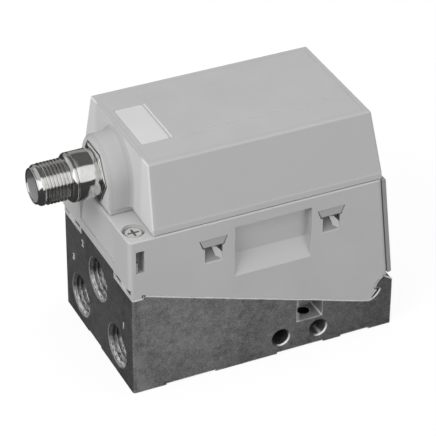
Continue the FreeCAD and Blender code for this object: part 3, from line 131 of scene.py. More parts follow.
# ---------------------------------------------------------------- node helpers
class Shader:
    """A material's nodes. Sizes are in millimetres, and coordinates are the object's own."""
    def __init__(self, name):
        self.mat = bpy.data.materials.new(name)
        self.mat.use_nodes = True
        self.tree = self.mat.node_tree
        self.tree.nodes.clear()
        self.out = self.add("ShaderNodeOutputMaterial")
        self.space = self.add("ShaderNodeTexCoord").outputs["Object"]

    def add(self, kind, **values):
        node = self.tree.nodes.new(kind)
        for key, value in values.items():
            setattr(node, key, value)
        return node

    def link(self, a, b):
        self.tree.links.new(a, b)

    def feed(self, socket, value):
        if isinstance(value, bpy.types.NodeSocket):
            self.link(value, socket)
        else:
            socket.default_value = value

    def noise(self, size_mm, detail=3.0, rough=0.5, stretch=None):
        node = self.add("ShaderNodeTexNoise")
        vector = self.space
        if stretch:
            mapping = self.add("ShaderNodeMapping")
            mapping.inputs["Scale"].default_value = stretch
            self.link(vector, mapping.inputs["Vector"])
            vector = mapping.outputs[0]
        self.link(vector, node.inputs["Vector"])
        node.inputs["Scale"].default_value = 1 / (size_mm * MM)
        node.inputs["Detail"].default_value = detail
        node.inputs["Roughness"].default_value = rough
        return node.outputs["Fac"]

    def cells(self, size_mm):
        node = self.add("ShaderNodeTexVoronoi")
        self.link(self.space, node.inputs["Vector"])
        node.inputs["Scale"].default_value = 1 / (size_mm * MM)
        return node.outputs["Distance"]

    def spread(self, value, low, high, to_low=0.0, to_high=1.0):
        node = self.add("ShaderNodeMapRange")
        self.link(value, node.inputs["Value"])
        for key, number in (("From Min", low), ("From Max", high), ("To Min", to_low), ("To Max", to_high)):
            node.inputs[key].default_value = number
        return node.outputs["Result"]

    def math(self, kind, a, b=0.0):
        node = self.add("ShaderNodeMath", operation=kind)
        self.feed(node.inputs[0], a)
        self.feed(node.inputs[1], b)
        return node.outputs[0]

    def blend(self, fac, a, b):
        node = self.add("ShaderNodeMix", data_type="RGBA")
        self.feed(node.inputs[0], fac)
        self.feed(node.inputs[6], a if isinstance(a, bpy.types.NodeSocket) else (*a, 1.0))
        self.feed(node.inputs[7], b if isinstance(b, bpy.types.NodeSocket) else (*b, 1.0))
        return node.outputs[2]

    def edges(self, radius_mm):
        """1 along the edges of the shape and 0 away from them."""
        bevel = self.add("ShaderNodeBevel", samples=6)
        bevel.inputs["Radius"].default_value = radius_mm * MM
        geometry = self.add("ShaderNodeNewGeometry")
        dot = self.add("ShaderNodeVectorMath", operation="DOT_PRODUCT")
        self.link(bevel.outputs[0], dot.inputs[0])
        self.link(geometry.outputs["Normal"], dot.inputs[1])
        return self.spread(dot.outputs["Value"], 0.995, 0.86)

    def axes(self):
        """The place on the object as x, y and z in millimetres."""
        node = self.add("ShaderNodeVectorMath", operation="SCALE")
        self.link(self.space, node.inputs[0])
        node.inputs["Scale"].default_value = 1 / MM
        split = self.add("ShaderNodeSeparateXYZ")
        self.link(node.outputs[0], split.inputs[0])
        return split.outputs["X"], split.outputs["Y"], split.outputs["Z"]

    def facing(self):
        """The three parts of the direction that the surface faces."""
        split = self.add("ShaderNodeSeparateXYZ")
        self.link(self.add("ShaderNodeNewGeometry").outputs["True Normal"], split.inputs[0])
        return split.outputs["X"], split.outputs["Y"], split.outputs["Z"]

    def above(self, value, limit, soft):
        return self.spread(value, limit - soft, limit + soft)

    def below(self, value, limit, soft):
        return self.spread(value, limit + soft, limit - soft)

    def band(self, value, low, high, soft):
        return self.math("MULTIPLY", self.above(value, low, soft), self.below(value, high, soft))

    def disc(self, x, z, centre_x, centre_z, radius):
        across = self.math("POWER", self.math("SUBTRACT", x, centre_x), 2.0)
        high = self.math("POWER", self.math("SUBTRACT", z, centre_z), 2.0)
        return self.below(self.math("SQRT", self.math("ADD", across, high)), radius, 0.05)

    def all_of(self, first, *others):
        for other in others:
            first = self.math("MULTIPLY", first, other)
        return first

    def most(self, first, *others):
        for other in others:
            first = self.math("MAXIMUM", first, other)
        return first

    def tint(self, base, mask, share, level):
        """Where mask is 1, base goes the given share of the way to a display grey."""
        return self.blend(self.math("MULTIPLY", mask, share), base, grey(level))

    def bump(self, height, depth_mm, after=None):
        node = self.add("ShaderNodeBump")
        node.inputs["Strength"].default_value = 1.0
        node.inputs["Distance"].default_value = depth_mm * MM
        self.link(height, node.inputs["Height"])
        if after:
            self.link(after, node.inputs["Normal"])
        return node.outputs[0]

    def surface(self, color, rough, metal=0.0, normal=None, **more):
        node = self.add("ShaderNodeBsdfPrincipled")
        linked = isinstance(color, bpy.types.NodeSocket)
        self.feed(node.inputs["Base Color"], color if linked else (*color, 1.0))
        self.feed(node.inputs["Roughness"], rough)
        self.feed(node.inputs["Metallic"], metal)
        if normal:
            self.link(normal, node.inputs["Normal"])
        for key, value in more.items():
            node.inputs[key].default_value = value
        self.link(node.outputs[0], self.out.inputs["Surface"])
        return self.mat


def grey(srgb):
    """A display grey from 0 to 255 as a linear colour."""
    value = srgb / 255
    linear = value / 12.92 if value <= 0.04045 else ((value + 0.055) / 1.055) ** 2.4
    return (linear, linear, linear)


# ---------------------------------------------------------------- materials
def moulding(name, level, grain=0.012, edge_highlight=0.35, features=None):
    """Fine-grained moulded plastic of one grey level, with a painted highlight that makes it a little lighter
    along its edges.
    """
    s = Shader(name)
    cloud = s.noise(14, 2)
    base = s.blend(s.spread(cloud, 0.3, 0.7), grey(level - 2), grey(level + 2))
    # Painted highlight: the edges go part of the way to a lighter grey.
    base = s.tint(base, s.edges(0.35), edge_highlight, min(level + 34, 245))
    if features:
        base = features(s, base, level)
    fine = s.noise(0.11, 4, 0.6)
    waves = s.noise(9, 1)
    normal = s.bump(waves, 0.05)
    normal = s.bump(fine, grain, after=normal)
    rough = s.spread(s.noise(0.6, 3), 0.3, 0.7, 0.46, 0.58)
    return s.surface(base, rough, normal=normal, **{"Specular IOR Level": 0.4})


def cover_features(s, base, level):
    """Faint lines round the top face, one of them a painted highlight; painted shade on the snap heads, the
    side slopes and the turn round the boss; painted light on the front and the lower flanks; millimetres.
    """
    x, y, z = s.axes()
    side = s.math("ABSOLUTE", y)
    facing, sideways, _ = s.facing()
    top = s.above(z, TOP_Z, 0.1)
    behind_boss = -33.0
    # The light line beside the label is a painted highlight of the raised panel's edge.
    label_line = s.all_of(s.band(side, *LABEL_LINE_SIDE, 0.08), s.band(x, *LABEL_LINE_X, 0.1),
                          s.above(y, 0.0, 0.1), top)
    along = s.all_of(s.band(side, *FRAME_LINE_SIDE, 0.08), s.band(x, *FRAME_LINE_X, 0.1), top)
    ends = s.most(s.band(x, *FRAME_LINE_FRONT, 0.08), s.band(x, *FRAME_LINE_REAR, 0.08))
    across = s.all_of(ends, s.below(side, 18.4, 0.1), top)
    # Painted shade on the snap heads, the side slopes and the turn round the boss, and painted light on the
    # lower flanks and the front.
    snap_heads = s.all_of(s.above(side, 20.0, 0.1), s.below(z, 46.4, 0.1))
    slopes = s.all_of(s.above(s.math("ABSOLUTE", sideways), 0.8, 0.1), s.above(x, behind_boss, 0.5))
    flanks = s.all_of(s.band(z, 51.0, 53.9, 0.12), s.above(facing, FORWARD, FORWARD_SOFT))
    front = s.below(facing, FORWARD, FORWARD_SOFT)
    boss_turn = s.all_of(s.band(facing, -0.95, -0.3, 0.12), s.below(x, behind_boss, 0.5),
                         s.above(z, 51.5, 0.3), s.below(side, 16.0, 1.0))
    for mask, share, shade in ((label_line, 0.85, 22), (s.most(along, across), 0.40, -22),
                               (snap_heads, 0.9, -30), (slopes, 0.8, -6), (flanks, 0.8, 2),
                               (front, 0.9, 42), (boss_turn, 0.75, -22)):
        base = s.tint(base, mask, share, level + shade)
    return base


def housing_features(s, base, level):
    """Painted shade in the slots, the corner slot, the windows and on the scoop's end wall; painted light on
    the front, the scoop's back and ramp, the screw pads and their recesses, and a painted highlight along the
    top edge; millimetres.
    """
    x, y, z = s.axes()
    side = s.math("ABSOLUTE", y)
    facing, _, rising = s.facing()
    forward = s.below(facing, FORWARD, FORWARD_SOFT)
    outer = s.above(side, 20.0, 0.1)

    # Painted light on the front and on the scoop's back, painted shade on the scoop's end wall.
    front = s.all_of(forward, s.below(x, -36.0, 0.5))
    scoop_end = s.all_of(forward, s.band(x, 12.0, 16.0, 0.5), s.above(z, 38.0, 0.5))
    scoop_back = s.all_of(s.band(x, *SCOOP_X, 0.2), s.spread(z, 38.0, 49.0), s.band(side, 21.0, 24.2, 0.1))
    for mask, share, shade in ((front, 0.8, 14), (scoop_end, 0.8, -16), (scoop_back, 0.6, 16)):
        base = s.tint(base, mask, share, level + shade)

    # Painted light on the screw pads and their recesses and on the scoop's ramp, and a painted highlight along
    # the top edge.
    pads = s.all_of(s.above(z, PAD_Z, 0.1), s.below(x, -34.0, 0.2))
    rim = s.all_of(s.above(z, 51.05, 0.05), s.above(side, 24.3, 0.1))
    scoop_ramp = s.all_of(s.band(rising, 0.25, 0.85, 0.05), s.band(x, -10.2, 14.4, 0.2),
                          s.band(z, 31.0, 37.4, 0.2), s.above(side, 21.0, 0.1))
    screw_recess = s.all_of(s.disc(x, side, *HOUSING_SCREW, 3.45), s.below(z, 50.95, 0.05))
    lights = ((pads, 0.3), (rim, 0.12), (scoop_ramp, 0.12), (screw_recess, 0.9))
    light = s.most(*(s.math("MULTIPLY", mask, share) for mask, share in lights))
    base = s.blend(light, base, grey(level + 26))

    # Painted shade in the slots, the corner slot and the windows, towards a dark grey.
    slots = s.most(s.band(side, 13.05, 16.75, 0.05), s.band(side, 20.55, 23.65, 0.05))
    slots = s.all_of(slots, s.band(x, -40.75, -39.9, 0.05), s.band(z, 33.0, 35.45, 0.05), s.below(y, 19.0, 0.5))
    slots = s.math("MULTIPLY", slots, 0.78)
    corner_slot = s.all_of(s.band(x, -39.9, -36.9, 0.05), s.band(z, 40.6, 48.2, 0.05),
                           s.below(side, 24.5, 0.15), outer)
    core = s.all_of(s.band(x, -39.25, -38.1, 0.15), s.above(z, 43.8, 0.3))
    corner_shade = s.most(s.spread(z, 41.0, 44.5, 0.12, 0.42), s.math("MULTIPLY", core, 0.95))
    windows = s.most(*(s.band(x, middle - 2.8, middle + 2.8, 0.1) for _, middle in WINDOWS))
    windows = s.all_of(windows, s.band(z, 37.9, 43.3, 0.15), s.below(side, 24.75, 0.08), outer,
                       s.spread(z, 38.0, 41.5, 0.35, 0.75))
    return s.blend(s.most(slots, s.all_of(corner_slot, corner_shade), windows), base, grey(40))


def cast_metal(name):
    """Dull cast metal, with painted shade darker to the rear and in the holes, and bright machined places that
    carry painted light and painted highlights; millimetres.
    """
    s = Shader(name)
    x, y, z = s.axes()
    side = s.math("ABSOLUTE", y)
    patch = s.noise(2.2, 5, 0.65)
    speck = s.noise(0.45, 3, 0.7)
    cloud = s.noise(17, 2)
    front = s.all_of(s.below(s.facing()[0], -0.8, 0.1), s.below(x, NEAR_FRONT_X, 0.05))

    # The cast skin: mottled towards the front, shaded towards the rear and on the front face.
    tone = s.math("ADD", s.math("MULTIPLY", patch, 0.35), s.math("MULTIPLY", speck, 0.55))
    tone = s.math("ADD", tone, s.math("MULTIPLY", cloud, 0.25))
    cast = s.blend(s.spread(tone, 0.37, 0.79), grey(69), grey(182))
    mottle = s.all_of(s.spread(s.noise(4.5, 4, 0.7, stretch=(1, 1, 0.5)), 0.48, 0.62),
                      s.spread(x, -24.0, -39.0, 0.0, 0.55), s.above(side, 24.5, 0.1))
    cast = s.blend(mottle, cast, grey(170))
    shade = s.most(s.spread(x, -12.0, 41.0, 0.08, 0.52), s.math("MULTIPLY", front, 0.52))
    cast = s.blend(shade, cast, (0.008, 0.008, 0.008))

    # The machined places: the pockets of the down-going screws and the ledge under the housing screws.
    streaks = s.spread(s.noise(0.7, 4, 0.75, stretch=(1, 1, 4)), 0.38, 0.62)
    milled = s.blend(streaks, grey(118), grey(250))
    pocket = s.all_of(s.band(x, *DOWN_POCKET_X, 0.05), s.above(z, DOWN_POCKET_Z, 0.05),
                      s.band(side, DOWN_POCKET_SIDE, 24.86, 0.03))
    floor = s.all_of(pocket, s.below(z, 9.9, 0.1))
    wall = s.all_of(pocket, s.above(x, 18.05, 0.05), s.above(z, 10.0, 0.05))
    into = s.math("MULTIPLY", s.math("SUBTRACT", BODY_SIDE, side), 0.47)
    strip = s.all_of(pocket, s.below(s.math("SUBTRACT", x, into), 11.1, 0.15))
    foot = s.all_of(pocket, s.above(x, 18.0, 0.05), s.below(z, 10.05, 0.08))
    # Painted light and shade: the pocket's floor and wall in two greys, and painted highlights on its front
    # strip and foot.
    for mask, share, level in ((floor, 0.8, 146), (wall, 0.8, 130), (strip, 0.85, 244), (foot, 1.0, 240)):
        milled = s.tint(milled, mask, share, level)
    # The ledge: bare machined metal, and painted light against the shade under the housing.
    ledge = s.all_of(s.above(z, LEDGE_Z - 0.15, 0.05), s.below(x, -37.6, 0.05), s.math("SUBTRACT", 1.0, front))
    base = s.blend(s.most(pocket, ledge), cast, milled)

    # The holes: painted shade inside, speckled, and a chamfer with a painted highlight below and painted shade
    # above.
    for centre, dark, light in zip(SIDE_HOLES_X, (44, 60), (100, 145)):
        mouth = s.disc(x, z, centre, SIDE_HOLE_Z, 2.98)
        hole = s.all_of(mouth, s.below(side, SIDE_CHAMFER_FOOT, 0.03))
        inside = s.blend(s.spread(speck, 0.35, 0.65), grey(dark), grey(light))
        base = s.blend(s.math("MULTIPLY", hole, 0.96), base, inside)
        ring = s.all_of(mouth, s.above(side, SIDE_CHAMFER_FOOT, 0.03))
        low = s.spread(s.math("SUBTRACT", x, z), centre - SIDE_HOLE_Z + 0.9, centre - SIDE_HOLE_Z + 3.2)
        base = s.blend(ring, base, s.blend(low, grey(64), grey(236)))
    # A painted highlight: a light streak inside the second side hole.
    streak = s.all_of(s.disc(x, z, SIDE_HOLES_X[1], SIDE_HOLE_Z, 2.8), s.band(x, 17.6, 18.5, 0.15),
                      s.band(side, 20.5, 24.5, 0.1))
    base = s.tint(base, streak, 0.85, 232)
    # Painted shade darkens the down-going hole from its mouth at the pocket's floor down to about z 6.
    down = s.all_of(s.disc(x, side, *DOWN_HOLE, 2.0), s.below(z, 9.52, 0.03))
    base = s.tint(base, down, s.above(z, 6.0, 1.0), 14)

    # The edges, lighter partly by wear and partly as a painted highlight, weak round the side holes and on the
    # front face.
    rims = s.most(*(s.disc(x, z, centre, SIDE_HOLE_Z, 3.6) for centre in SIDE_HOLES_X))
    edge = s.all_of(s.edges(0.5), s.spread(s.noise(3.0, 3), 0.3, 0.6, 0.35, 1.0),
                    s.spread(front, 0.0, 1.0, 1.0, 0.15), s.spread(rims, 0.0, 1.0, 1.0, 0.1))
    base = s.blend(edge, base, grey(232))
    normal = s.bump(s.noise(0.9, 3, 0.6), 0.10)
    normal = s.bump(s.noise(0.22, 3, 0.7), 0.045, after=normal)
    rough = s.spread(s.noise(0.8, 4), 0.3, 0.7, 0.36, 0.54)
    metal = s.math("SUBTRACT", 0.40, s.math("MULTIPLY", edge, 0.25))
    return s.surface(base, rough, metal, normal)


def thread_metal(name, y0, z0):
    """Cut thread in a port, streaky, bright low in the hole as a painted highlight and dark high up and deeper
    in as painted shade; millimetres.
    """
    s = Shader(name)
    x, y, z = s.axes()
    slant = 0.35
    middle = z0 + slant * y0
    # Painted highlight low in the hole, painted shade high up.
    low = s.spread(s.math("ADD", z, s.math("MULTIPLY", y, slant)), middle + 1.6, middle - 0.8)
    streaks = s.spread(s.noise(1.0, 4, 0.7, stretch=(4.0, 0.7, 0.7)), 0.38, 0.62)
    bright = s.blend(streaks, grey(105), grey(252))
    base = s.blend(low, s.blend(streaks, grey(80), grey(132)), bright)
    # Painted shade deeper in the port.
    deep_shade = s.spread(x, -38.0, -31.0, 0.0, 0.65)
    base = s.blend(deep_shade, base, grey(30))
    rough = s.spread(s.noise(0.7, 3), 0.3, 0.7, 0.28, 0.42)
    return s.surface(base, rough, 0.45, s.bump(s.noise(0.3, 3, stretch=(0.4, 1, 1)), 0.03))


def turned(name, color, rough, stretch, depth=0.008):
    """Bright metal with fine tool lines and slightly darker blotches."""
    s = Shader(name)
    lines = s.noise(0.5, 3, 0.6, stretch=stretch)
    blotch = s.noise(2.5, 4)
    base = s.blend(s.spread(blotch, 0.35, 0.75, 0.0, 0.6), color, tuple(v * 0.78 for v in color))
    normal = s.bump(lines, depth)
    spread = s.spread(s.noise(0.7, 4), 0.3, 0.7, rough * 0.8, rough * 1.35)
    return s.surface(base, spread, 1.0, normal)


def plain(name, color, rough, metal, size, depth):
    """A finely grained material of one colour, a tenth lighter and darker in turn."""
    s = Shader(name)
    fine = s.noise(size, 4, 0.6)
    darker, lighter = tuple(v * 0.9 for v in color), tuple(min(v * 1.1, 1) for v in color)
    base = s.blend(s.spread(fine, 0.3, 0.7), darker, lighter)
    spread = s.spread(s.noise(size * 2.3, 3), 0.3, 0.7, rough * 0.85, rough * 1.15)
    return s.surface(base, spread, metal, s.bump(fine, depth))


def screw_metal(name):
    """Pale zinc plating, with the drive in the housing screws' heads as a faint painted shade."""
    s = Shader(name)
    x, y, z = s.axes()
    fine = s.noise(0.4, 4, 0.6)
    base = s.blend(s.spread(fine, 0.3, 0.7), (0.62, 0.62, 0.61), (0.80, 0.80, 0.79))
    side = s.math("ABSOLUTE", y)
    # Painted shade where the drive's recess is in the housing screws' heads.
    drive = s.all_of(s.disc(x, side, *HOUSING_SCREW, 1.75), s.band(z, 49.5, 50.7, 0.04))
    base = s.tint(base, drive, 0.6, 125)
    return s.surface(base, s.spread(s.noise(0.9, 3), 0.3, 0.7, 0.32, 0.44), 0.45, s.bump(fine, 0.02))


def sleeve_plastic(name):
    """The insulating sleeve in the connector's mouth, with painted shade that makes it darker high up and
    lighter low down.
    """
    s = Shader(name)
    x, _, z = s.axes()
    fine = s.noise(0.3, 4, 0.6)
    # Painted shade: darker high up, lighter low down.
    lower = s.spread(s.math("SUBTRACT", z, s.math("MULTIPLY", x, 0.1)), 66.2, 65.4)
    base = s.blend(lower, grey(112), grey(166))
    base = s.blend(s.spread(fine, 0.3, 0.7, 0.0, 0.08), base, grey(90))
    return s.surface(base, s.spread(s.noise(0.7), 0.3, 0.7, 0.4, 0.5), 0.0, s.bump(fine, 0.01))


def winding(name):
    """Enamelled copper wire, wound in turns along z."""
    s = Shader(name)
    wave = s.add("ShaderNodeTexWave", wave_type="BANDS", bands_direction="Z", wave_profile="SIN")
    s.link(s.space, wave.inputs["Vector"])
    wave.inputs["Scale"].default_value = 1 / (0.9 * MM)
    base = s.blend(wave.outputs["Fac"], (0.18, 0.045, 0.015), (0.62, 0.25, 0.10))
    return s.surface(base, s.spread(s.noise(0.5), 0.3, 0.7, 0.25, 0.35), 0.9, s.bump(wave.outputs["Fac"], 0.05))


def board_laminate(name):
    """Green laminate with its coating sunk round small patches."""
    s = Shader(name)
    lanes = s.spread(s.cells(1.7), 0.16, 0.2)
    base = s.blend(lanes, (0.02, 0.14, 0.055), (0.012, 0.085, 0.035))
    return s.surface(base, s.spread(s.noise(0.8), 0.3, 0.7, 0.28, 0.4), 0.0, s.bump(lanes, 0.03))


MATERIALS = {
    "cover": moulding("cover_moulding", 186, features=cover_features),
    "moulding": moulding("moulding", 186),
    "housing": moulding("housing_moulding", 186, features=housing_features),
    # The snap heads' moulding is darkened as painted shade, and the ramps' is lightened as painted light.
    "snap_head": moulding("snap_head", 168),
    "snap_ramp": moulding("snap_ramp", 192),
    "zinc": screw_metal("zinc"),
    "rear_moulding": moulding("rear_moulding", 150, 0.02, 0.2),
    "label": moulding("label", 212, 0.004, 0.1),
    "cast_metal": cast_metal("cast_metal"),
    "machined_aluminium": turned("machined_aluminium", (0.60, 0.61, 0.62), 0.32, (1, 1, 8), depth=0.003),
    "plated_brass": turned("plated_brass", (0.80, 0.795, 0.78), 0.11, (12, 1, 1), depth=0.003),
    "steel": turned("steel", (0.52, 0.52, 0.52), 0.28, (1, 1, 6), depth=0.003),
    "rubber": plain("rubber", (0.025, 0.025, 0.025), 0.6, 0.0, 0.3, 0.015),
    "black_plastic": plain("black_plastic", (0.03, 0.03, 0.032), 0.42, 0.0, 0.25, 0.012),
    "gold_plating": turned("gold_plating", (0.80, 0.60, 0.25), 0.22, (6, 1, 1)),
    "lead_insulation": plain("lead_insulation", (0.32, 0.06, 0.04), 0.35, 0.0, 0.4, 0.01),
    "board_laminate": board_laminate("board_laminate"),
    "copper_wire": winding("copper_wire"),
    "sleeve": sleeve_plastic("sleeve"),
    # A light material for the body's edge strips: bare machined metal, and partly a painted highlight.
    "bright_edge": plain("bright_edge", (0.72, 0.72, 0.71), 0.35, 0.2, 0.6, 0.02),
}


def paint(ob, slot):
    """Give a CAD node its material through the object, so that its mesh stays as it is."""
    for item in ob.material_slots:
        item.link = "OBJECT"
        item.material = MATERIALS[slot]


# ---------------------------------------------------------------- mesh helpers
def piece(name, verts, faces, slot, sharp, look=None):
    """A mesh object on the regulator's body. look is a material of its own, other than the slot's."""
    mesh = bpy.data.meshes.new(name)
    mesh.from_pydata([tuple(v) for v in verts], [], faces)
    mesh.validate()
    work = bmesh.new()
    work.from_mesh(mesh)
    bmesh.ops.recalc_face_normals(work, faces=work.faces)
    work.to_mesh(mesh)
    work.free()
    ob = bpy.data.objects.new(name, mesh)
    bpy.context.scene.collection.objects.link(ob)
    for face in mesh.polygons:
        face.use_smooth = True
    mesh.set_sharp_from_angle(angle=math.radians(sharp))
    mesh.materials.append(MATERIALS[look or slot])
    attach(ob, "regulator_body")
    return ob


def ring_grid(rows, columns, radius_at, x_at, y, z):
    """Rows of points round an axis along X; radius_at and x_at take (row, angle)."""
    verts, faces = [], []
    for row in range(rows):
        for column in range(columns):
            angle = 2 * math.pi * column / columns
            r = radius_at(row, angle)
            verts.append((x_at(row, angle), y + r * math.cos(angle), z + r * math.sin(angle)))
    for row in range(rows - 1):
        for column in range(columns):
            after = (column + 1) % columns
            faces.append((row * columns + column, row * columns + after,
                          (row + 1) * columns + after, (row + 1) * columns + column))
    return verts, faces


def thread_height(phase):
    """Rounded thread form: 0 at the root, 1 at the crest, over one turn of phase."""
    t = phase % 1.0
    rise = min(max((0.95 - abs(t - 0.5) * 2) / 0.8, 0.0), 1.0)
    return rise * rise * (3 - 2 * rise)


# ---------------------------------------------------------------- connector
SHELL_BORE = 4.6
SHELL_CREST, SHELL_ROOT, SHELL_PITCH = 6.0, 5.30, 1.0
# Half a section through the shell, in millimetres: first x, counted from its front, and then the radius.
SHELL_MOUTH = ((5.0, SHELL_BORE), (0.05, SHELL_BORE), (0.0, SHELL_BORE + 0.05), (0.0, 5.0), (0.12, 5.15),
               (0.35, 5.2), (0.4, 5.08), (0.95, 5.4), (1.2, 5.75), (1.35, 5.85), (2.05, 5.88), (2.2, 5.7))
SHELL_THREAD = (2.25, 9.55)
THREAD_STEPS = 220
SHELL_COLLAR = ((9.65, 5.35), (9.8, 5.4), (9.8, 6.1), (10.0, 6.45), (10.5, 6.95), (10.8, 7.08),
                (11.05, 7.1), (11.15, 7.0), (11.2, 6.6), (11.45, 6.6), (11.5, 7.0), (11.6, 7.1))
SLEEVE = ((0.5, 4.58), (0.3, 4.5), (0.3, 4.42), (0.5, 4.36), (8.55, 4.3), (8.55, 4.58), (0.5, 4.58))
# The same for what is counted from the flange's rear face: the end of the barrel, and the flange's rim,
# where the second number is how far it lies inside the hexagon.
SHELL_SHANK = ((-2.0, 7.1), (-1.75, 6.95), (-1.65, 5.3))
FLANGE_RIM = ((-1.7, 0.7), (-1.45, 0.15), (-1.3, 0.0), (-0.3, 0.0), (0.0, 0.15))
FLANGE_TO_REAR = 6.4
FLANGE_FLATS = 15.0
FLANGE_HOLE = 5.25


def connector_shell():
    """The threaded shell in place of the plain one, its hexagonal flange and the sleeve in its mouth."""
    lo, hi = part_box("connector_shell")
    front, rear = lo[0] / MM, hi[0] / MM
    z = (lo[2] + hi[2]) / 2
    start, end = (front + v for v in SHELL_THREAD)
    seat = rear - FLANGE_TO_REAR
    # None stands for the thread's own height.
    shape = [(front + x, r) for x, r in SHELL_MOUTH]
    shape += [(start + (end - start) * k / THREAD_STEPS, None) for k in range(THREAD_STEPS + 1)]
    shape += [(front + x, r) for x, r in SHELL_COLLAR]
    shape += [(seat + x, r) for x, r in SHELL_SHANK]
    shape += [(rear, SHELL_SHANK[-1][1]), (rear, SHELL_BORE), shape[0]]

    def radius(row, angle):
        x, r = shape[row]
        if r is not None:
            return r * MM
        fade = max(min((x - start) / 0.5, (end - x) / 0.4, 1.0), 0.0)
        height = thread_height((x - start) / SHELL_PITCH - angle / (2 * math.pi))
        return (SHELL_ROOT + (SHELL_CREST - SHELL_ROOT) * height * fade) * MM

    verts, faces = ring_grid(len(shape), 112, radius, lambda row, angle: shape[row][0] * MM, 0.0, z)
    shell = piece("connector_shell_threaded", verts, faces, "plated_brass", 70)
    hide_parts("connector_shell")
    connector_flange(seat, z)
    verts, faces = ring_grid(len(SLEEVE), 64, lambda row, angle: SLEEVE[row][1] * MM,
                             lambda row, angle: (front + SLEEVE[row][0]) * MM, 0.0, z)
    piece("connector_sleeve", verts, faces, "moulding", 30, "sleeve")


def connector_flange(seat, z):
    """Hexagon whose rear face is at x = seat millimetres, round a hole; z is the axis's height in metres."""
    count, flat = 72, math.pi / 3
    corner = FLANGE_FLATS / math.sqrt(3)
    angles = [2 * math.pi * k / count for k in range(count)]
    verts, faces = [], []
    for x, inset in FLANGE_RIM:
        for angle in angles:
            reach = corner * math.cos(flat / 2) / math.cos(angle % flat - flat / 2)
            reach = min(reach, corner - 0.2) - inset
            verts.append(((seat + x) * MM, reach * math.cos(angle) * MM, z + reach * math.sin(angle) * MM))
    for x in (FLANGE_RIM[-1][0], FLANGE_RIM[0][0]):
        for angle in angles:
            verts.append(((seat + x) * MM, FLANGE_HOLE * math.cos(angle) * MM,
                          z + FLANGE_HOLE * math.sin(angle) * MM))
    rows = len(FLANGE_RIM) + 2
    for row in range(rows):
        follow = (row + 1) % rows
        for k in range(count):
            after = (k + 1) % count
            faces.append((row * count + k, row * count + after, follow * count + after, follow * count + k))
    piece("connector_flange", verts, faces, "plated_brass", 25)


# ---------------------------------------------------------------- machined edge of the metal body, with a painted highlight
def arc(a, b, c, steps):
    """Points on the circle through a, b and c, from a to c."""
    ax, az, bx, bz, cx, cz = *a, *b, *c
    d = 2 * (ax * (bz - cz) + bx * (cz - az) + cx * (az - bz))
    sa, sb, sc = ax * ax + az * az, bx * bx + bz * bz, cx * cx + cz * cz
    ux = (sa * (bz - cz) + sb * (cz - az) + sc * (az - bz)) / d
    uz = (sa * (cx - bx) + sb * (ax - cx) + sc * (bx - ax)) / d
    r = math.hypot(ax - ux, az - uz)
    first, mid, last = (math.atan2(q[1] - uz, q[0] - ux) for q in (a, b, c))
    mid = (mid - first) % (2 * math.pi)
    last = (last - first) % (2 * math.pi)
    if mid > last:
        last -= 2 * math.pi
    return [(ux + r * math.cos(first + last * k / steps), uz + r * math.sin(first + last * k / steps))
            for k in range(steps + 1)]


def prism_faces(start, sections):
    """Faces of a run of three-cornered sections whose points begin at start, closed at both ends."""
    faces = []
    for k in range(sections - 1):
        for j in range(3):
            near, far = start + 3 * k, start + 3 * k + 3
            faces.append((near + j, near + (j + 1) % 3, far + (j + 1) % 3, far + j))
    end = start + 3 * sections
    return faces + [(start, start + 1, start + 2), (end - 1, end - 2, end - 3)]


SEAM_SLOPE = ((-36.9, 32.545), (31.3, 10.665))
SEAM_FOOT = ((34.0, 10.1), (36.5, 11.8), (37.4, 13.45))
SEAM_HOOK = ((35.7, 13.95), (36.4, 16.15), (38.1, 17.6))
SEAM_END = (40.86, 15.86)
SEAM_THIN_X = 33.0
EDGE_SUNK, EDGE_RISE, EDGE_THIN_RISE = -0.01, 0.36, 0.22


def edge_section(rise):
    """The chamfer's three corners: distance from the middle plane, and height over the metal."""
    return (24.88, EDGE_SUNK), (24.50, rise), (24.40, EDGE_SUNK)


def edge_strip():
    """Bright chamfer along the metal body's top edge, in the seam under the housing, partly bare machined metal
    and partly a painted highlight; x and z in mm.
    """
    line = [*SEAM_SLOPE, *arc(*SEAM_FOOT, 14), *arc(*SEAM_HOOK, 12), SEAM_END]
    for side, label in SIDES:
        verts = []
        for k, (x, z) in enumerate(line):
            before, after = line[max(k - 1, 0)], line[min(k + 1, len(line) - 1)]
            dx, dz = after[0] - before[0], after[1] - before[1]
            length = math.hypot(dx, dz)
            nx, nz = -dz / length, dx / length
            for y, out in edge_section(EDGE_RISE if x < SEAM_THIN_X else EDGE_THIN_RISE):
                verts.append(((x + nx * out) * MM, side * y * MM, (z + nz * out) * MM))
        faces = prism_faces(0, len(line))
        faces += prism_faces(len(verts), 2)
        for x in (NEAR_FRONT_X, -37.75):
            for y, out in edge_section(EDGE_RISE):
                verts.append((x * MM, side * y * MM, (LEDGE_Z + out) * MM))
        faces += prism_faces(len(verts), 2)
        for y in (12.0, 24.7):
            for x, out in ((-40.98, EDGE_SUNK), (-40.94, 0.08), (-40.5, EDGE_SUNK)):
                verts.append((x * MM, side * y * MM, (LEDGE_Z + out) * MM))
        piece("body_edge_" + label, verts, faces, "cast_metal", 30, "bright_edge")


def plate(name, near, far, slot, look):
    """A closed block between two outlines of the same number of points, in millimetres."""
    count = len(near)
    verts = [tuple(v * MM for v in point) for point in (*near, *far)]
    faces = [tuple(range(count)), tuple(range(2 * count - 1, count - 1, -1))]
    faces += [(k, (k + 1) % count, (k + 1) % count + count, k + count) for k in range(count)]
    return piece(name, verts, faces, slot, 30, look)


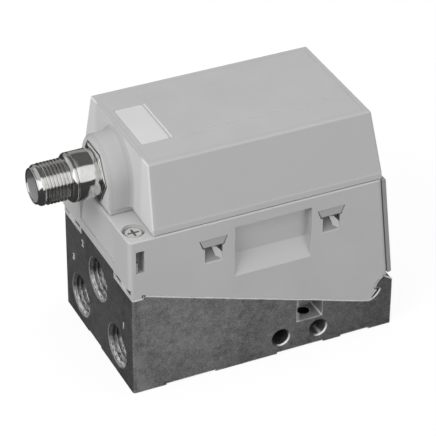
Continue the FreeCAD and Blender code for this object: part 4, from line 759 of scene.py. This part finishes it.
# What shows in an opening under a snap head: outlines as x from its middle and z, and the distances from
# the middle plane that each piece runs between. The ramp's face is slanted, so that its points hold their own.
WINDOW_HALF = 2.68
WINDOW_BACK = ((-WINDOW_HALF, 41.82), (WINDOW_HALF, 41.82), (WINDOW_HALF, 43.25), (-WINDOW_HALF, 43.25))
WINDOW_BACK_DEPTHS = (23.35, 22.95)
SNAP_HEAD = ((-4.1, 46.0), (4.1, 46.0), (3.02, 43.6), (-3.02, 43.6))
SNAP_HEAD_DEPTHS = (24.68, 23.98)
SNAP_RAMP = ((-0.2, 23.9, 42.9), (1.1, 24.1, 42.7), (2.66, 24.6, 40.9), (2.66, 24.84, 37.95),
             (1.5, 24.5, 37.95))
SNAP_RAMP_DEPTH = 23.3


def placed(outline, middle, y):
    return [(middle + x, y, z) for x, z in outline]


def windows():
    """The closed back, the snap head's face and a small ramp in each of the housing's four windows."""
    for label, middle in WINDOWS:
        for side, hand in SIDES:
            ending = label + "_" + hand
            near, far = (placed(WINDOW_BACK, middle, side * depth) for depth in WINDOW_BACK_DEPTHS)
            plate("window_back_" + ending, near, far, "moulding", "housing")
            near, far = (placed(SNAP_HEAD, middle, side * depth) for depth in SNAP_HEAD_DEPTHS)
            plate("snap_head_" + ending, near, far, "moulding", "snap_head")
            near = [(middle + x, side * y, z) for x, y, z in SNAP_RAMP]
            far = [(x, side * SNAP_RAMP_DEPTH, z) for x, _, z in near]
            plate("snap_ramp_" + ending, near, far, "moulding", "snap_ramp")


# ---------------------------------------------------------------- springs
WIRE_SIDES = 14
TURN_STEPS = 28
# Mean radius, wire radius and working turns; then the heights that each spring stands between.
POPPET_SPRING, POPPET_SPRING_Z = (4.8, 0.4, 2), (9.51, 13.64)
RELAY_SPRING, RELAY_SPRING_Z = (6.3, 0.5, 2), (19.51, 31.19)
SPRING_SPLIT_Z = 25.35
ARMATURE_SPRING, ARMATURE_SPRING_Z = (1.2, 0.2, 4), (33.81, 38.89)


def wire_piece(name, mean, wire, x, y, low, high, course):
    """Round wire along course, a list of (angle, height), cut flat at low and high; lengths in mm."""
    verts, faces = [], []
    for angle, middle in course:
        for j in range(WIRE_SIDES):
            turn = 2 * math.pi * j / WIRE_SIDES
            reach = mean + wire * math.cos(turn)
            height = min(max(middle + wire * math.sin(turn), low), high)
            verts.append(((x + reach * math.cos(angle)) * MM, (y + reach * math.sin(angle)) * MM, height * MM))
    steps = len(course) - 1
    for k in range(steps):
        for j in range(WIRE_SIDES):
            after = (j + 1) % WIRE_SIDES
            near, far = k * WIRE_SIDES, (k + 1) * WIRE_SIDES
            faces.append((near + j, near + after, far + after, far + j))
    faces.append(tuple(range(WIRE_SIDES - 1, -1, -1)))
    faces.append(tuple(range(steps * WIRE_SIDES, (steps + 1) * WIRE_SIDES)))
    return piece(name, verts, faces, "steel", 60)


def spring(name, mean, wire, turns, x, y, low, high):
    """A whole spring with closed, ground end turns, standing between two heights; lengths in mm."""
    steps = TURN_STEPS * (turns + 2)
    base, top = low + wire, high - wire
    ends = 0.35 * wire
    course = []
    for k in range(steps + 1):
        share = k / steps * (turns + 2)
        rise = min(max((share - 1) / turns, 0.0), 1.0)
        middle = base + ends * min(share, 1.0) + (top - base - 2 * ends) * rise
        course.append((2 * math.pi * share, middle + ends * max(share - turns - 1, 0.0)))
    return wire_piece(name, mean, wire, x, y, low, high, course)


def half_spring(name, low, high, lower):
    """Half of the relay piston's spring, the lower or the upper, between two heights."""
    mean, wire, turns = RELAY_SPRING
    steps = TURN_STEPS * (turns + 1)
    base = low + wire if lower else low
    top = high if lower else high - wire
    course = []
    for k in range(steps + 1):
        share = k / steps * (turns + 1)
        rise = max(share - 1, 0.0) / turns if lower else min(share, turns) / turns
        course.append((2 * math.pi * share, base + (top - base) * rise))
    bottom, lid = (low, math.inf) if lower else (-math.inf, high)
    return wire_piece(name, mean, wire, MAIN_VALVE_X, 0.0, bottom, lid, course)


def springs():
    """Each spring in place of its plain one; the upper half of the relay spring goes with the poppet."""
    coil = spring("poppet_return_spring", *POPPET_SPRING, MAIN_VALVE_X, 0.0, *POPPET_SPRING_Z)
    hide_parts("poppet_spring")
    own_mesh(coil)
    coil = half_spring("relay_return_spring_low", RELAY_SPRING_Z[0], SPRING_SPLIT_Z, True)
    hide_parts("relay_spring")
    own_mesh(coil)
    coil = half_spring("relay_return_spring_high", SPRING_SPLIT_Z, RELAY_SPRING_Z[1], False)
    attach(coil, "poppet")
    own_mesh(coil)
    for side, y in (("fill", -PILOT_VALVE_Y), ("vent", PILOT_VALVE_Y)):
        coil = spring(side + "_armature_return_spring", *ARMATURE_SPRING, PILOT_VALVE_X, y, *ARMATURE_SPRING_Z)
        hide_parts(side + "_armature_spring")
        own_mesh(coil)


# ---------------------------------------------------------------- port threads
PORT_PITCH = 1.337 * MM
PORT_OUTER, PORT_INNER = 6.57 * MM, 5.80 * MM
PORT_START, PORT_END = 0.25 * MM, 12.3 * MM
PORT_STEPS = 140


def port_thread(name, y, z):
    """Cut thread on the wall of a port whose axis is at y and z; metres."""
    MATERIALS[name] = thread_metal(name, y / MM, z / MM)
    pitch, outer, inner = PORT_PITCH, PORT_OUTER, PORT_INNER
    start, end = FRONT_FACE_X + PORT_START, FRONT_FACE_X + PORT_END
    rows = [(start - 0.05 * MM, outer)]
    rows += [(start + (end - start) * k / PORT_STEPS, None) for k in range(PORT_STEPS + 1)]
    rows += [(end + 0.05 * MM, outer)]

    def radius(row, angle):
        x, r = rows[row]
        if r is not None:
            return r
        fade = max(min((x - start) / (0.7 * MM), (end - x) / (1.5 * MM), 1.0), 0.0)
        height = thread_height((x - start) / pitch + angle / (2 * math.pi))
        return outer - (outer - inner) * height * fade

    verts, faces = ring_grid(len(rows), 72, radius, lambda row, angle: rows[row][0], y, z)
    piece(name, verts, faces, "machined_aluminium", 50, name)


# ---------------------------------------------------------------- numerals
def numeral(text, y, z):
    """A raised port number on the front face, centred at y and z; metres."""
    size_mm = 2.9
    data = bpy.data.curves.new("numeral_" + text, "FONT")
    data.body = text
    data.size = size_mm * MM
    data.extrude = 0.12 * MM
    data.bevel_depth = 0.03 * MM
    data.align_x = "CENTER"
    data.align_y = "CENTER"
    ob = bpy.data.objects.new("numeral_" + text, data)
    bpy.context.scene.collection.objects.link(ob)
    ob.matrix_world = Matrix.Translation((FRONT_FACE_X - 0.02 * MM, y, z)) @ Matrix(
        ((0, 0, -1, 0), (-1, 0, 0, 0), (0, 1, 0, 0), (0, 0, 0, 1)))
    data.materials.append(MATERIALS["label"])
    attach(ob, "regulator_body")


# ---------------------------------------------------------------- floor, world and lamps
def floor_plane():
    """A pale floor that keeps the object's shadow; metal mirrors it dark."""
    size = 3.0
    mesh = bpy.data.meshes.new("floor")
    corners = [(-size, -size, 0), (size, -size, 0), (size, size, 0), (-size, size, 0)]
    mesh.from_pydata(corners, [], [(0, 1, 2, 3)])
    floor = bpy.data.objects.new("floor", mesh)
    bpy.context.scene.collection.objects.link(floor)
    s = Shader("floor")
    diffuse = s.add("ShaderNodeBsdfDiffuse")
    diffuse.inputs["Color"].default_value = (0.55, 0.55, 0.55, 1)
    glow = s.add("ShaderNodeEmission")
    glow.inputs["Strength"].default_value = 1.13
    path = s.add("ShaderNodeLightPath")
    seen = s.math("MULTIPLY", path.outputs["Is Camera Ray"], 0.8)
    reflected = s.add("ShaderNodeBsdfDiffuse")
    reflected.inputs["Color"].default_value = (0.05, 0.05, 0.05, 1)
    lower = s.add("ShaderNodeMixShader")
    s.link(path.outputs["Is Glossy Ray"], lower.inputs[0])
    s.link(diffuse.outputs[0], lower.inputs[1])
    s.link(reflected.outputs[0], lower.inputs[2])
    mix = s.add("ShaderNodeMixShader")
    s.link(seen, mix.inputs[0])
    s.link(lower.outputs[0], mix.inputs[1])
    s.link(glow.outputs[0], mix.inputs[2])
    s.link(mix.outputs[0], s.out.inputs["Surface"])
    mesh.materials.append(s.mat)


def studio():
    """White behind the object, an even light on it, and the mirrored panels for glossy rays."""
    world = bpy.data.worlds.new("studio")
    world.use_nodes = True
    bpy.context.scene.world = world
    tree = world.node_tree
    tree.nodes.clear()
    out = tree.nodes.new("ShaderNodeOutputWorld")
    back = tree.nodes.new("ShaderNodeBackground")
    path = tree.nodes.new("ShaderNodeLightPath")
    level = tree.nodes.new("ShaderNodeMapRange")
    level.inputs["To Min"].default_value = 0.5
    level.inputs["To Max"].default_value = 1.0
    tree.links.new(path.outputs["Is Camera Ray"], level.inputs["Value"])
    look = tree.nodes.new("ShaderNodeTexCoord").outputs["Generated"]
    panels = []
    for facing, start, end, low, high in PANELS:
        direction = tree.nodes.new("ShaderNodeVectorMath")
        direction.operation = "DOT_PRODUCT"
        direction.inputs[1].default_value = facing
        tree.links.new(look, direction.inputs[0])
        panel = tree.nodes.new("ShaderNodeMapRange")
        for key, number in (("From Min", start), ("From Max", end), ("To Min", low), ("To Max", high)):
            panel.inputs[key].default_value = number
        tree.links.new(direction.outputs["Value"], panel.inputs["Value"])
        panels.append(panel.outputs[0])
    total = panels[0]
    for panel in panels[1:]:
        both = tree.nodes.new("ShaderNodeMath")
        both.operation = "ADD"
        tree.links.new(total, both.inputs[0])
        tree.links.new(panel, both.inputs[1])
        total = both.outputs[0]
    choice = tree.nodes.new("ShaderNodeMix")
    tree.links.new(path.outputs["Is Glossy Ray"], choice.inputs[0])
    tree.links.new(level.outputs[0], choice.inputs[2])
    tree.links.new(total, choice.inputs[3])
    tree.links.new(choice.outputs[0], back.inputs["Strength"])
    back.inputs["Color"].default_value = (1, 1, 1, 1)
    tree.links.new(back.outputs[0], out.inputs["Surface"])


# Name, place, size in metres and power in watts.
LAMPS = (("key", (-0.75, -0.35, 0.75), (0.5, 0.5), 5.2),
         ("top", (0.1, 0.1, 1.1), (0.8, 0.8), 2.45),
         ("side", (0.35, -0.95, 0.35), (0.5, 0.4), 1.85))


def lamp(name, place, size, power):
    """A soft lamp aimed at the middle of the object, which metal doesn't mirror."""
    target = (0, 0, 0.04)
    data = bpy.data.lights.new(name, "AREA")
    data.shape = "RECTANGLE"
    data.size, data.size_y = size
    data.energy = power
    ob = bpy.data.objects.new(name, data)
    bpy.context.scene.collection.objects.link(ob)
    ob.visible_glossy = False
    aim = (Vector(target) - Vector(place)).to_track_quat("-Z", "Y")
    ob.matrix_world = Matrix.Translation(place) @ aim.to_matrix().to_4x4()


# ---------------------------------------------------------------- build
bpy.context.scene.view_settings.view_transform = "Standard"
camera()
floor_plane()
studio()
for setting in LAMPS:
    lamp(*setting)

for entry in frame["record"]["subparts"]:
    paint(NODES[entry["node"]], entry["material_slot"])
paint(NODES["cover"], "cover")
paint(NODES["housing"], "housing")
paint(NODES["housing_screws"], "zinc")

connector_shell()
edge_strip()
windows()
springs()
for label, across, height in PORTS:
    port_thread(label + "_port_thread", across * MM, height * MM)
for text, across, height in NUMERALS:
    numeral(text, across * MM, height * MM)
